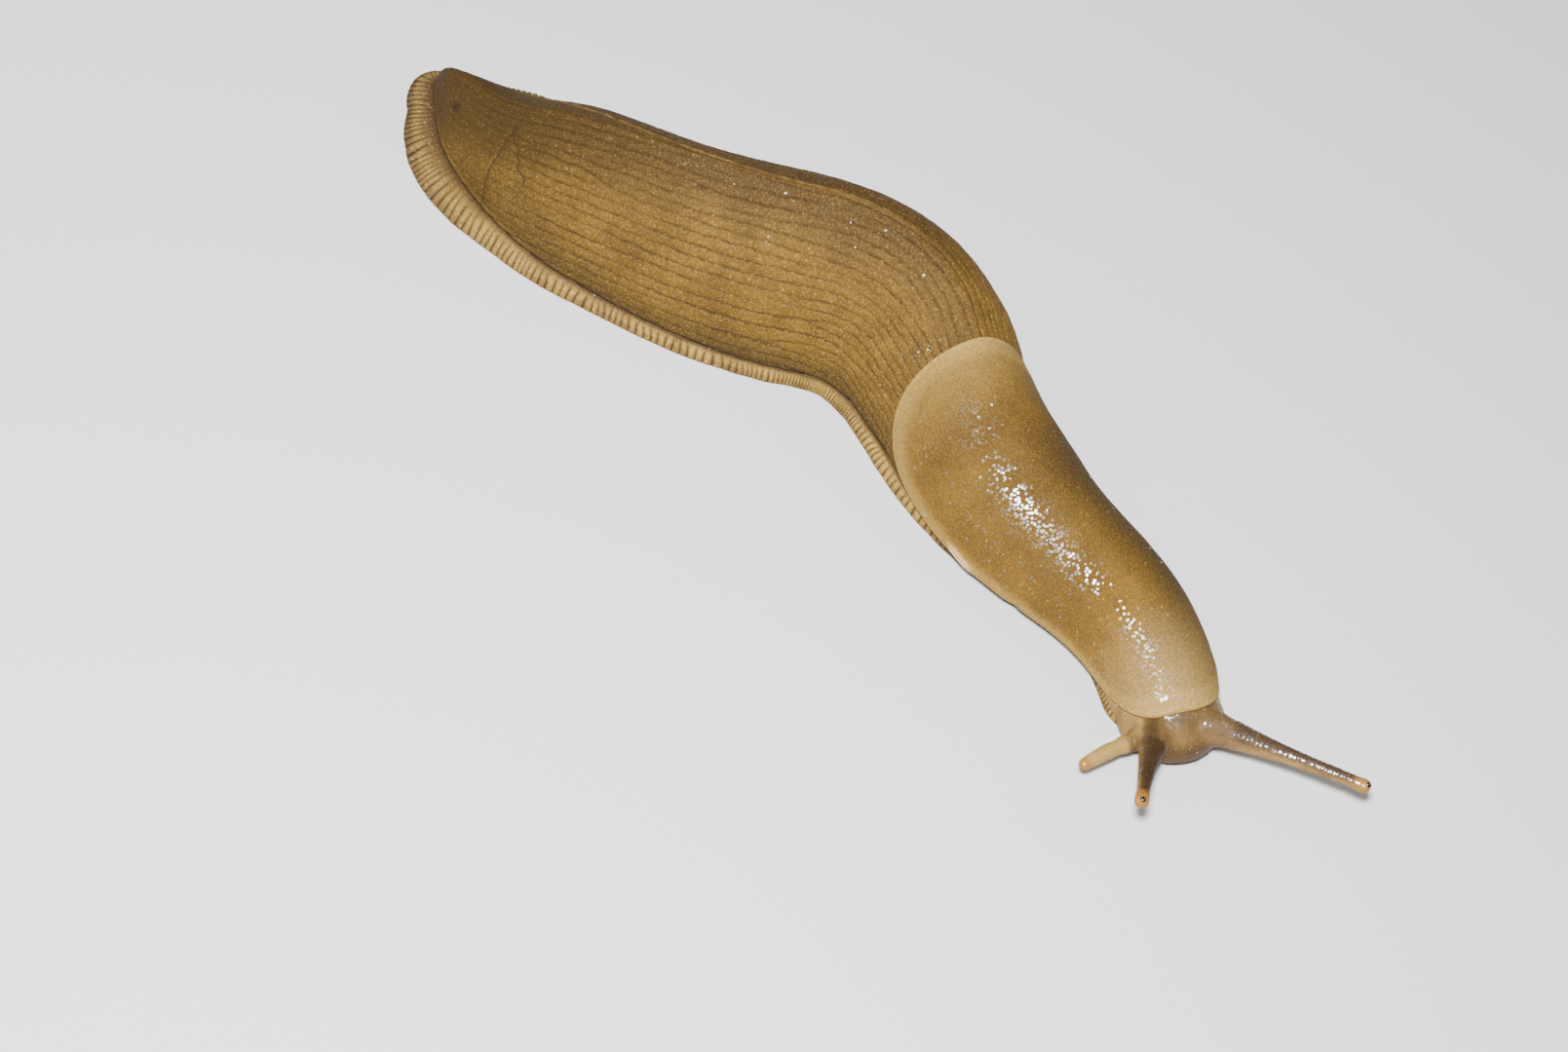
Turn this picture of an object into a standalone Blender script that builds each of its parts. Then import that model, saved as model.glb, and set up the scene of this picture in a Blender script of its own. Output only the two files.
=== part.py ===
# A banana slug at life size, stretched out in one still pose.
# The head is towards +X, the slug's left side towards +Y and the sole lies flat on z = 0.
# Sizes below are in millimetres and degrees. Meshes are made in metres.
import math

import bpy
import bmesh
import numpy as np
from mathutils import Matrix, Vector

MILLIMETRE = 0.001
GAP = 0.3                       # left between pieces that touch

# Course of the body over the floor, measured from the tail tip
LENGTH = 146.8
TAIL_TIP = (-78.96, -5.07)
TAIL_HEADING = -12.0            # anticlockwise from +X
BENDS = (                       # middle, length and turn of each bend
    (14, 28, 24),
    (46, 36, 24),
    (74, 40, -68),
    (103, 34, 37),
    (127, 30, -39),
)

# Stations of the body: distance, half width, height, fringe beyond the body, keel
STATIONS = np.array((
    (4.0, 3.0, 9.8, 3.8, 0.5),
    (12.0, 6.9, 10.1, 4.8, 0.75),
    (25.0, 11.6, 16.6, 2.4, 0.85),
    (42.0, 12.9, 21.8, 1.3, 0.8),
    (58.0, 13.8, 23.0, 1.0, 0.65),
    (74.0, 12.4, 23.0, 0.9, 0.3),
    (90.0, 11.2, 19.2, 0.8, 0.1),
    (106.0, 11.0, 16.6, -2.0, 0.0),
    (118.0, 9.8, 13.6, -2.6, 0.0),
    (130.0, 8.6, 12.0, -2.0, 0.0),
    (138.0, 7.8, 10.6, -0.8, 0.0),
    (LENGTH, 7.0, 8.6, -0.8, 0.0),
))
HALF_WIDTH, HEIGHT, FRINGE, KEEL = 1, 2, 3, 4

# Foot
GROOVE_HEIGHT = 2.4             # the body starts at this height, above the fringe
FOOT_START = 0.2
FOOT_END = 142.6
TAIL_ROUNDING = 10.4            # length over which an end rounds off
FRONT_ROUNDING = 7.0
FOOT_PIECES = (("foot_tail", 30.0), ("foot_rear", 56.0), ("foot_middle", 90.0),
               ("foot_fore", 117.0), ("foot_front", FOOT_END))
RIB_PITCH = 1.8
RIB_DEPTH = 0.35
EDGE_HEIGHT = 0.6               # of the fringe's outermost line
SLOPE_BREAK = (0.55, 1.65)      # share of the fringe's width, and height, where its slope steepens
SEAT_LIMITS = (0.3, 0.6)        # least half width of the seat, and least width of the fringe
SOLE_INSET = 0.25               # the sole's edge lies this far inside the fringe

# Body
BODY_START = 2.9
BODY_ROUNDING = 10.8
SNOUT_ROUNDING = 6.5
HEIGHT_POWER = 0.8              # of the rounding that the height follows
TIP_FLAT = 0.25                 # length left off a rounded end, so that it has a small flat
BODY_PIECES = (("tail", 28.0), ("back_rear", 57.0), ("back_front", 89.0),
               ("torso", 116.0), ("neck", 138.0), ("head", LENGTH - TIP_FLAT))
RING_STEP = 4.0
END_CROWDING = 1.6              # power that draws rings together towards an end or a rim
SNOUT_RINGS = 12
BODY_STRIPS = 44                # from groove to groove, with a furrow on every second line
FURROW_DEPTH = 0.28
FURROW_SHARP_ANGLE = 20.0       # creases sharper than this stay sharp on the back
MANTLE_FADE = 3.0               # the furrows fade out this close to the mantle,
FLANK_FADE = 10.0               # this far behind its middle
TAIL_FADE = (2.0, 8.0)          # and after the first length of the tail, over the second
UNDERSIDE = 0.8                 # its width to the body's

# Mantle, a rounded shield from the middle of the back to behind the head
MANTLE_MIDDLE = 115.2
MANTLE_HALF_LENGTH = 27.2
MANTLE_TURN = 15.0              # that it sits round to the right side
MANTLE_GIRTH = (100.0, 82.0)    # degrees from its middle line to its left and right edges
MANTLE_SQUARENESS = 3.0
MANTLE_EDGE_LIMIT = 86.5        # degrees down each side that the edge reaches
MANTLE_REACH = 20.0             # mean distance from its middle to its edge
MANTLE_GAP = 0.35
MANTLE_SPOKES = 72
MANTLE_RINGS = 12
RIM_DROP = 0.3
RIM_WIDTH = 1.2
SKIN_DEPTH_AT_RIM = 1.15        # how far the skin lies below the mantle's surface
SKIN_DEPTH_INSIDE = 1.65
SKIN_DIP_LENGTH = 5.0
SKIN_INSIDE_LENGTH = 2.0        # over which the depth grows from the rim inwards

# Breathing hole in the mantle's right edge
HOLE_STATION = 106.5
HOLE_ANGLE = 80.0
HOLE_SIZE = (1.5, 1.6, 0.4)     # half length, half depth, half height
HOLE_LIP = (1.6, 1.1, 0.85)     # radii of the middle of the lip, and its outward scale between
HOLE_LIP_ROUND = 0.3            # thickness of the lip to its radius

# Head
SNOUT_FLOOR_GAP = 1.4
SNOUT_STEP = 143.1              # from here on the snout reaches down in front of the foot
SNOUT_RISE = 2.0                # length at its end over which it lifts again
STEP_LENGTH = 0.02
MOUTH = dict(station=146.4, height=2.1, size=(1.1, 1.5, 0.28))
UPPER_LIP = dict(station=145.4, height=3.15, size=(1.2, 2.1, 0.75))
LIP_LOBE = dict(station=144.8, height=2.15, right=2.0, size=(1.4, 1.2, 0.95))

# Feelers: station and angle of the root, heading from the head's own, rise, length and radii
LEFT_OPTIC = dict(station=144.4, angle=-52, heading=55, rise=7, sway=-6, curl=5,
                  length=15.2, root=1.9, middle=1.2, neck=0.85)
RIGHT_OPTIC = dict(station=144.5, angle=56, heading=-36, rise=20, sway=2, curl=6,
                   length=9.8, root=1.75, middle=1.15, neck=0.8)
LEFT_FEELER = dict(station=143.6, angle=-78, heading=60, rise=-6, sway=-6, curl=-2,
                   length=4.6, root=1.15, middle=1.0, neck=0.8)
RIGHT_FEELER = dict(station=143.5, angle=76, heading=-76, rise=2, sway=8, curl=-4,
                    length=6.4, root=1.2, middle=1.05, neck=0.8)
FEELER_SIDES = 12
FEELER_RING_STEP = 2.0
FEELER_MIDDLE = 0.35            # share of the length at which the middle radius is reached
LEAST_RINGS = 4
KNOB_END_ANGLES = (20, 40, 60, 80)
FEELER_END_ANGLES = (30, 55, 78)
ROOT_SUNK = 2.4                 # the swelling under a feeler starts this deep in the head
ROOT_LENGTH = 1.6               # and ends this far outside it
ROOT_SPREAD = 1.15              # widening of the swelling towards the head
KNOB_RADIUS = 0.92
KNOB_LENGTH = 2.7
EYE_RADIUS = 0.44
EYE_HALF_THICKNESS = 0.3
EYE_SEAT = 0.2                  # distance of the flat under the eye from the knob's middle
EYE_TILT = 50.0                 # of the eye up from the knob's end


# Course and section of the body

def smooth(t):
    t = np.clip(t, 0.0, 1.0)
    return t * t * (3.0 - 2.0 * t)


def heading(s):
    angle = np.full(np.shape(s), TAIL_HEADING, float)
    for middle, length, turn in BENDS:
        angle = angle + turn * smooth((s - middle) / length + 0.5)
    return np.radians(angle)


COURSE = np.linspace(0.0, LENGTH, 1481)
COURSE_STEP = COURSE[1]
COURSE_X = TAIL_TIP[0] + np.cumsum(np.cos(heading(COURSE - COURSE_STEP / 2))) * COURSE_STEP
COURSE_Y = TAIL_TIP[1] + np.cumsum(np.sin(heading(COURSE - COURSE_STEP / 2))) * COURSE_STEP


def place(s, right, height):
    """Point at a distance along the body, to the right of its middle and above the floor."""
    turn = heading(s)
    x = np.interp(s, COURSE, COURSE_X) + right * np.sin(turn)
    y = np.interp(s, COURSE, COURSE_Y) - right * np.cos(turn)
    return np.stack(np.broadcast_arrays(x, y, height), axis=-1)


def station(s, column):
    """Smooth curve through one column of the stations."""
    knots, values = STATIONS[:, 0], STATIONS[:, column]
    slopes = np.gradient(values, knots)
    i = np.clip(np.searchsorted(knots, s) - 1, 0, len(knots) - 2)
    step = knots[i + 1] - knots[i]
    t = np.clip((s - knots[i]) / step, 0.0, 1.0)
    between = values[i] * (1 + 2 * t) * (1 - t) ** 2 + values[i + 1] * t * t * (3 - 2 * t)
    return between + step * t * (1 - t) * (slopes[i] * (1 - t) - slopes[i + 1] * t)


def rounding(s, start, end, start_length, end_length):
    """1 along the middle, falling to 0 as a quarter ellipse at both ends."""
    first = np.clip((s - start) / start_length, 0.0, 1.0)
    last = np.clip((end - s) / end_length, 0.0, 1.0)
    return np.sqrt(1 - (1 - first) ** 2) * np.sqrt(1 - (1 - last) ** 2)


def body_size(s):
    """Half width of the body and its height above the groove."""
    ends = rounding(s, BODY_START, LENGTH, BODY_ROUNDING, SNOUT_ROUNDING)
    return station(s, HALF_WIDTH) * ends, (station(s, HEIGHT) - GROOVE_HEIGHT) * ends ** HEIGHT_POWER


def skin(s, angle, lift=0.0):
    """Point of the outer surface at an angle from the top, positive to the right."""
    width, height = body_size(s)
    across, up = np.sin(np.radians(angle)), np.cos(np.radians(angle))
    right = (width + lift) * np.sign(across) * np.abs(across) ** (1 + station(s, KEEL))
    return place(s, right, GROOVE_HEIGHT + (height + lift) * up)


def inside_mantle(s, angle):
    """Distance inside the mantle's edge, negative outside it."""
    along = np.abs((s - MANTLE_MIDDLE) / MANTLE_HALF_LENGTH) ** MANTLE_SQUARENESS
    girth = np.where(angle < MANTLE_TURN, *MANTLE_GIRTH)
    around = np.abs((angle - MANTLE_TURN) / girth) ** MANTLE_SQUARENESS
    return (1.0 - (along + around) ** (1.0 / MANTLE_SQUARENESS)) * MANTLE_REACH


def skin_depth(s, angle):
    """How far the skin lies below the outer surface, under and beside the mantle."""
    inside = inside_mantle(s, angle)
    dip = SKIN_DEPTH_AT_RIM * smooth(1.0 + inside / SKIN_DIP_LENGTH)
    return dip + (SKIN_DEPTH_INSIDE - SKIN_DEPTH_AT_RIM) * smooth(inside / SKIN_INSIDE_LENGTH)


# Objects, meshes and materials

def new_collection(name):
    collection = bpy.data.collections.new(name)
    bpy.context.scene.collection.children.link(collection)
    return collection


def material(name, colour, roughness):
    """Principled material from an sRGB colour of 0 to 255."""
    made = bpy.data.materials.new(name)
    made.use_nodes = True
    linear = [((c / 255 + 0.055) / 1.055) ** 2.4 for c in colour]
    shader = made.node_tree.nodes["Principled BSDF"]
    shader.inputs["Base Color"].default_value = (*linear, 1.0)
    shader.inputs["Roughness"].default_value = roughness
    shader.inputs["Metallic"].default_value = 0.0
    made.diffuse_color = (*linear, 1.0)
    return made


def mesh_object(name, points, faces):
    """Object of the slug from points in millimetres, with its faces turned out."""
    mesh = bpy.data.meshes.new(name)
    mesh.from_pydata((np.asarray(points) * MILLIMETRE).tolist(), [], faces)
    shape = bmesh.new()
    shape.from_mesh(mesh)
    bmesh.ops.recalc_face_normals(shape, faces=shape.faces)
    shape.to_mesh(mesh)
    shape.free()
    made = bpy.data.objects.new(name, mesh)
    SLUG.objects.link(made)
    return made


def loft(name, rings):
    """Closed solid through rings of as many points each, with a flat face at both ends."""
    rings = np.asarray(rings)
    count, sides = rings.shape[:2]
    faces = [tuple(range(sides)), tuple((count - 1) * sides + j for j in range(sides))]
    for i in range(count - 1):
        for j in range(sides):
            k = (j + 1) % sides
            faces.append((i * sides + j, i * sides + k, (i + 1) * sides + k, (i + 1) * sides + j))
    return mesh_object(name, rings.reshape(-1, 3), faces)


def placed(made, centre, direction, sizes):
    """Scales a primitive, turns its +X to a direction with +Y kept level, and moves it."""
    first = Vector(direction).normalized()
    second = Vector((0, 0, 1)).cross(first).normalized()
    turn = Matrix((first, second, first.cross(second))).transposed().to_4x4()
    scale = Matrix.Diagonal((*(size * MILLIMETRE for size in sizes), 1.0))
    made.data.transform(Matrix.Translation(Vector(centre) * MILLIMETRE) @ turn @ scale)
    return made


def primitive(name, add, **sizes):
    """Object of the slug from one of Blender's own primitives."""
    add(**sizes)
    made = bpy.context.object
    made.name = made.data.name = name
    for collection in made.users_collection:
        collection.objects.unlink(made)
    SLUG.objects.link(made)
    return made


def ellipsoid(name, centre, direction, sizes):
    ball = primitive(name, bpy.ops.mesh.primitive_uv_sphere_add, segments=16, ring_count=8, radius=1.0)
    return placed(ball, centre, direction, sizes)


def keep_largest(mesh):
    """Leaves only the largest closed surface of a mesh."""
    shape = bmesh.new()
    shape.from_mesh(mesh)
    left, largest = set(shape.faces), set()
    while left:
        front = [left.pop()]
        shell = set(front)
        while front:
            near = {face for edge in front.pop().edges for face in edge.link_faces} & left
            left -= near
            shell |= near
            front.extend(near)
        largest = max(largest, shell, key=len)
    bmesh.ops.delete(shape, geom=[face for face in shape.faces if face not in largest], context="FACES")
    shape.to_mesh(mesh)
    shape.free()


def combine(made, operation, others):
    """Joins other closed objects to a piece with UNION, or cuts them out with DIFFERENCE."""
    group = bpy.data.collections.new(made.name + "_" + operation)
    for other in others:
        group.objects.link(other)
    boolean = made.modifiers.new(operation, "BOOLEAN")
    boolean.operation = operation
    boolean.operand_type = "COLLECTION"
    boolean.collection = group
    boolean.solver = "EXACT"
    evaluated = made.evaluated_get(bpy.context.evaluated_depsgraph_get())
    made.data = bpy.data.meshes.new_from_object(evaluated)
    made.modifiers.clear()
    bpy.data.collections.remove(group)
    keep_largest(made.data)
    for other in others:
        if operation == "UNION":
            bpy.data.objects.remove(other)
        else:
            SLUG.objects.unlink(other)
            CUTTERS.objects.link(other)
            other.hide_render = True
            other.display_type = "WIRE"


def finish(made, look, sharp_angle=40.0):
    made.data.materials.clear()
    made.data.materials.append(look)
    made.data.shade_smooth()
    made.data.set_sharp_from_angle(angle=math.radians(sharp_angle))


def lengths(pieces, start):
    """Name, start and end of each length, with the gap between neighbours."""
    for name, end in pieces:
        last = end == pieces[-1][1]
        yield name, start, end if last else end - GAP / 2
        start = end + GAP / 2


# Foot

def foot_edge(s):
    """Half width of the foot at the fringe."""
    ends = rounding(s, 0.0, FOOT_END + TIP_FLAT, TAIL_ROUNDING, FRONT_ROUNDING)
    return (station(s, HALF_WIDTH) + station(s, FRINGE)) * ends


def foot_ring(s, rib):
    """Section of the foot: a flat sole, the fringe sloping in and the seat of the body."""
    edge = foot_edge(s)
    least, fringe = SEAT_LIMITS
    groove = np.clip(body_size(s)[0] - skin_depth(s, 90.0), least, edge - fringe)
    wave = RIB_DEPTH * rib
    share, height = SLOPE_BREAK
    slope = groove + share * (edge - groove)
    side = [(edge - SOLE_INSET - wave, 0.0), (edge - wave, EDGE_HEIGHT), (slope - wave, height),
            (groove, GROOVE_HEIGHT - GAP)]
    outline = side + [(-right, height) for right, height in reversed(side)]
    return [place(s, right, height) for right, height in outline]


def make_foot():
    course = np.linspace(FOOT_START, FOOT_END, 3001)
    outline = np.cumsum(np.hypot(np.gradient(course), np.gradient(foot_edge(course))))
    lines = np.arange(0.0, outline[-1], RIB_PITCH / 2)
    ribs = np.interp(lines, outline, course)
    for name, start, end in lengths(FOOT_PIECES, FOOT_START):
        clear = RIB_PITCH / 4
        inner = [(s, i % 2) for i, s in enumerate(ribs) if start + clear < s < end - clear]
        rings = [foot_ring(s, rib) for s, rib in [(start, 0), *inner, (end, 0)]]
        finish(loft(name, rings), FRINGE_LOOK)


# Body

def body_rings(start, end):
    """Distances of the rings of one length, closer where an end rounds off."""
    count = max(LEAST_RINGS, round((end - start) / RING_STEP) + 1)
    t = np.linspace(0.0, 1.0, count)
    if start < BODY_START + BODY_ROUNDING:
        t = t ** END_CROWDING
    if end > LENGTH - SNOUT_ROUNDING:
        t = 1 - (1 - np.linspace(0.0, 1.0, SNOUT_RINGS)) ** END_CROWDING
    return start + t * (end - start)


def body_ring(s):
    angles = np.linspace(-90.0, 90.0, BODY_STRIPS + 1)
    odd = np.arange(BODY_STRIPS + 1) % 2
    bare = smooth(-inside_mantle(s, angles) / MANTLE_FADE) * smooth((MANTLE_MIDDLE - s) / FLANK_FADE)
    tail_clear, tail_fade = TAIL_FADE
    furrow = FURROW_DEPTH * odd * bare * smooth((s - BODY_START - tail_clear) / tail_fade)
    ring = skin(s, angles, -skin_depth(s, angles) - furrow)
    right = UNDERSIDE * body_size(s)[0]
    below = GROOVE_HEIGHT
    if s >= SNOUT_STEP:
        below -= (GROOVE_HEIGHT - SNOUT_FLOOR_GAP) * min(1.0, (LENGTH - s) / SNOUT_RISE) ** 0.5
    return [*ring, place(s, right, below), place(s, -right, below)]


def make_body():
    for name, start, end in lengths(BODY_PIECES, BODY_START + TIP_FLAT):
        stops = body_rings(start, end)
        if name == "head":
            stops = np.sort(np.append(stops, (SNOUT_STEP - STEP_LENGTH, SNOUT_STEP)))
        finish(loft(name, [body_ring(s) for s in stops]), BACK_LOOK, FURROW_SHARP_ANGLE)


# Mantle

def mantle_sheet(lift):
    """Points of one face of the mantle, ring by ring from its middle to its rim."""
    turn = np.linspace(0.0, 2 * np.pi, MANTLE_SPOKES, endpoint=False)
    c, s = np.cos(turn), np.sin(turn)
    edge = (np.abs(c) ** MANTLE_SQUARENESS + np.abs(s) ** MANTLE_SQUARENESS) ** (-1 / MANTLE_SQUARENESS)
    along = MANTLE_HALF_LENGTH * edge * c
    around = MANTLE_TURN + np.where(s < 0, *MANTLE_GIRTH) * edge * s
    around = np.clip(around, -MANTLE_EDGE_LIMIT, MANTLE_EDGE_LIMIT) - MANTLE_TURN
    points = []
    for ring in range(1, MANTLE_RINGS + 1):
        r = 1 - (1 - ring / MANTLE_RINGS) ** END_CROWDING
        distance, angle = MANTLE_MIDDLE + r * along, MANTLE_TURN + r * around
        points.extend(skin(distance, angle, lift(distance, angle, (1 - r) * MANTLE_REACH)))
    middle = lift(MANTLE_MIDDLE, MANTLE_TURN, MANTLE_REACH)
    return [skin(MANTLE_MIDDLE, MANTLE_TURN, middle), *points]


def make_mantle():
    outer = mantle_sheet(lambda s, angle, inside: RIM_DROP * (smooth(inside / RIM_WIDTH) - 1))
    inner = mantle_sheet(lambda s, angle, inside: MANTLE_GAP - skin_depth(s, angle))
    per_side, faces = len(outer), []
    for side in range(2):
        first = side * per_side
        for j in range(MANTLE_SPOKES):
            k = (j + 1) % MANTLE_SPOKES
            faces.append((first, first + 1 + j, first + 1 + k))
            for ring in range(MANTLE_RINGS - 1):
                a = first + 1 + ring * MANTLE_SPOKES
                b = a + MANTLE_SPOKES
                faces.append((a + j, b + j, b + k, a + k))
    rim = 1 + (MANTLE_RINGS - 1) * MANTLE_SPOKES
    for j in range(MANTLE_SPOKES):
        k = (j + 1) % MANTLE_SPOKES
        faces.append((rim + j, rim + k, per_side + rim + k, per_side + rim + j))
    mantle = mesh_object("mantle", outer + inner, faces)
    add_breathing_hole(mantle)
    finish(mantle, MANTLE_LOOK)


def add_breathing_hole(mantle):
    """A slit through the mantle's right edge with a raised lip round it."""
    centre = skin(HOLE_STATION, HOLE_ANGLE)
    outward = skin(HOLE_STATION, HOLE_ANGLE, 1.0) - centre
    along = np.cross((0, 0, 1), outward)
    lip = primitive("lip", bpy.ops.mesh.primitive_torus_add, major_segments=24, minor_segments=8,
                    major_radius=1.0, minor_radius=HOLE_LIP_ROUND)
    lip.data.transform(Matrix.Rotation(math.pi / 2, 4, "X"))
    placed(lip, centre, along, HOLE_LIP)
    slit = ellipsoid("breathing_hole_cutter", centre, along, HOLE_SIZE)
    combine(mantle, "UNION", [lip])
    combine(mantle, "DIFFERENCE", [slit])


# Head and feelers

def direction(turn, rise):
    """Unit vector from a heading and a rise in degrees."""
    turn, rise = math.radians(turn), math.radians(rise)
    return np.array((math.cos(turn) * math.cos(rise), math.sin(turn) * math.cos(rise), math.sin(rise)))


def tube(name, centres, ways, radii):
    """Round tapering solid along a path, its rings square to the ways given."""
    turns = np.linspace(0.0, 2 * np.pi, FEELER_SIDES, endpoint=False)
    rings = []
    for centre, way, radius in zip(centres, ways, radii):
        level = np.cross((0, 0, 1), way)
        level /= np.linalg.norm(level)
        upright = np.cross(way, level)
        rings.append([centre + radius * (math.cos(t) * level + math.sin(t) * upright) for t in turns])
    return loft(name, rings)


def feeler_start(feeler):
    """Point on the head where a feeler grows, its heading and its way out of the head."""
    point = skin(feeler["station"], feeler["angle"], 0.0)
    turn = math.degrees(heading(LENGTH)) + feeler["heading"]
    return point, turn, direction(turn, feeler["rise"])


def feeler_path(feeler):
    """Centres, ways and radii of a feeler's rings, from its root swelling outwards."""
    point, turn, way = feeler_start(feeler)
    count = max(LEAST_RINGS, round(feeler["length"] / FEELER_RING_STEP))
    step = feeler["length"] / count
    centres, ways = [point + way * (ROOT_LENGTH + GAP)], [way]
    for i in range(1, count + 1):
        t = i / count
        way = direction(turn + feeler["sway"] * t, feeler["rise"] + feeler["curl"] * t)
        centres.append(centres[-1] + way * step)
        ways.append(way)
    t = np.linspace(0.0, 1.0, count + 1)
    radii = np.interp(t, (0.0, FEELER_MIDDLE, 1.0), (feeler["root"], feeler["middle"], feeler["neck"]))
    return centres, ways, radii


def root_swelling(feeler):
    point, _, way = feeler_start(feeler)
    centres = [point - way * ROOT_SUNK, point, point + way * ROOT_LENGTH]
    radii = [feeler["root"] * ROOT_SPREAD, feeler["root"] * ROOT_SPREAD, feeler["root"]]
    return tube("root", centres, [way] * 3, radii)


def make_optic_feeler(side, feeler, cuts):
    """Long feeler in one or two lengths, with a knob at its end and an eye on the knob."""
    centres, ways, radii = feeler_path(feeler)
    cut_names = [f"{side}_optic_lower", f"{side}_optic_upper"] if cuts else [f"{side}_optic_stalk"]
    first = 0
    for name in cut_names:
        last = len(centres) // 2 if cuts and name.endswith("lower") else len(centres) - 1
        piece = [c.copy() for c in centres[first:last + 1]]
        if first:
            piece[0] = piece[0] + ways[first] * GAP
        finish(tube(name, piece, ways[first:last + 1], radii[first:last + 1]), HEAD_LOOK)
        first = last
    way, start = ways[-1], centres[-1] + ways[-1] * GAP
    middle = KNOB_LENGTH - KNOB_RADIUS
    rounded = middle + KNOB_RADIUS * np.sin(np.radians(KNOB_END_ANGLES))
    t = np.concatenate((np.linspace(0.0, middle, LEAST_RINGS), rounded))
    swell = feeler["neck"] + (KNOB_RADIUS - feeler["neck"]) * smooth(t / middle)
    end = np.sqrt(np.clip(1 - (np.clip(t - middle, 0, None) / KNOB_RADIUS) ** 2, 0, 1))
    knob = tube(f"{side}_optic_tip", [start + way * u for u in t], [way] * len(t), swell * end)
    upright = np.cross(way, np.cross((0, 0, 1), way))
    upright /= np.linalg.norm(upright)
    tilt = math.radians(EYE_TILT)
    look = way * math.cos(tilt) + upright * math.sin(tilt)
    centre = start + way * middle
    box = primitive(f"{side}_eye_cutter", bpy.ops.mesh.primitive_cube_add, size=2.0)
    half = 2 * KNOB_RADIUS
    placed(box, centre + look * (EYE_SEAT + half), look, (half, half, half))
    combine(knob, "DIFFERENCE", [box])
    finish(knob, HEAD_LOOK)
    seat = centre + look * (EYE_SEAT + GAP + EYE_HALF_THICKNESS)
    eye = ellipsoid(f"{side}_eye", seat, look, (EYE_HALF_THICKNESS, EYE_RADIUS, EYE_RADIUS))
    finish(eye, EYE_LOOK)


def make_lower_feeler(name, feeler):
    """Short blunt feeler beside the mouth."""
    centres, ways, radii = feeler_path(feeler)
    radius, way = radii[-1], ways[-1]
    angles = np.radians(FEELER_END_ANGLES)
    centres += [centres[-1] + way * radius * math.sin(a) for a in angles]
    radii = [*radii, *(radius * np.cos(angles))]
    finish(tube(name, centres, ways + [way] * len(angles), radii), HEAD_LOOK)


def shape_head(feelers):
    """Root swellings, lips and the mouth's slit on the plain head."""
    head = bpy.data.objects["head"]
    ahead = direction(math.degrees(heading(LENGTH)), 0.0)
    added = [root_swelling(feeler) for feeler in feelers]
    added.append(ellipsoid("upper_lip", place(UPPER_LIP["station"], 0.0, UPPER_LIP["height"]),
                           ahead, UPPER_LIP["size"]))
    for side in (-1, 1):
        centre = place(LIP_LOBE["station"], side * LIP_LOBE["right"], LIP_LOBE["height"])
        added.append(ellipsoid("lip_lobe", centre, ahead, LIP_LOBE["size"]))
    combine(head, "UNION", added)
    slit = ellipsoid("mouth_cutter", place(MOUTH["station"], 0.0, MOUTH["height"]), ahead, MOUTH["size"])
    combine(head, "DIFFERENCE", [slit])
    finish(head, HEAD_LOOK)


for old in list(bpy.data.objects):
    bpy.data.objects.remove(old, do_unlink=True)
SLUG = new_collection("Banana slug")
CUTTERS = new_collection("Cutters")

BACK_LOOK = material("Furrowed back", (140, 106, 56), 0.4)
MANTLE_LOOK = material("Mantle", (166, 126, 66), 0.35)
FRINGE_LOOK = material("Foot fringe", (184, 154, 102), 0.45)
HEAD_LOOK = material("Head and feelers", (172, 142, 106), 0.35)
EYE_LOOK = material("Eye", (18, 14, 12), 0.15)

make_foot()
make_body()
make_mantle()
shape_head((LEFT_OPTIC, RIGHT_OPTIC, LEFT_FEELER, RIGHT_FEELER))
make_optic_feeler("left", LEFT_OPTIC, cuts=True)
make_optic_feeler("right", RIGHT_OPTIC, cuts=False)
make_lower_feeler("left_feeler", LEFT_FEELER)
make_lower_feeler("right_feeler", RIGHT_FEELER)
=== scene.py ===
# Looks of a life-size banana slug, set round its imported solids.
# Shapes are worked out in millimetres and degrees, and their meshes are made in metres.
import math

import bmesh
import bpy
import numpy as np
from mathutils import Matrix, Vector


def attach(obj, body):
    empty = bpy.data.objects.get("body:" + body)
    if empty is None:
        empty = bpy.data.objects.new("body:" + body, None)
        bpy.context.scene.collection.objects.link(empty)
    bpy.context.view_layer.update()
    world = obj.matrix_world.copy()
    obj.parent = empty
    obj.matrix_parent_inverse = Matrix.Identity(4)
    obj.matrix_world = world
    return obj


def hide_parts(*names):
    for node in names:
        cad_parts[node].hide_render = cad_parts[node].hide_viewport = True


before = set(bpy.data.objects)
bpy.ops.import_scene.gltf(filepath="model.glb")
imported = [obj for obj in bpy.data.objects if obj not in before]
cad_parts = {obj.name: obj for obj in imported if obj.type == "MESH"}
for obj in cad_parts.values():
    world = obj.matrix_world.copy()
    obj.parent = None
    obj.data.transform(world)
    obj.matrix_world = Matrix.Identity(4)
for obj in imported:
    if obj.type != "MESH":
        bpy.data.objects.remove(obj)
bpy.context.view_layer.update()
print("frame loaded")

millimetre = 0.001


# Course and section of the body, the same as in the solids

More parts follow.
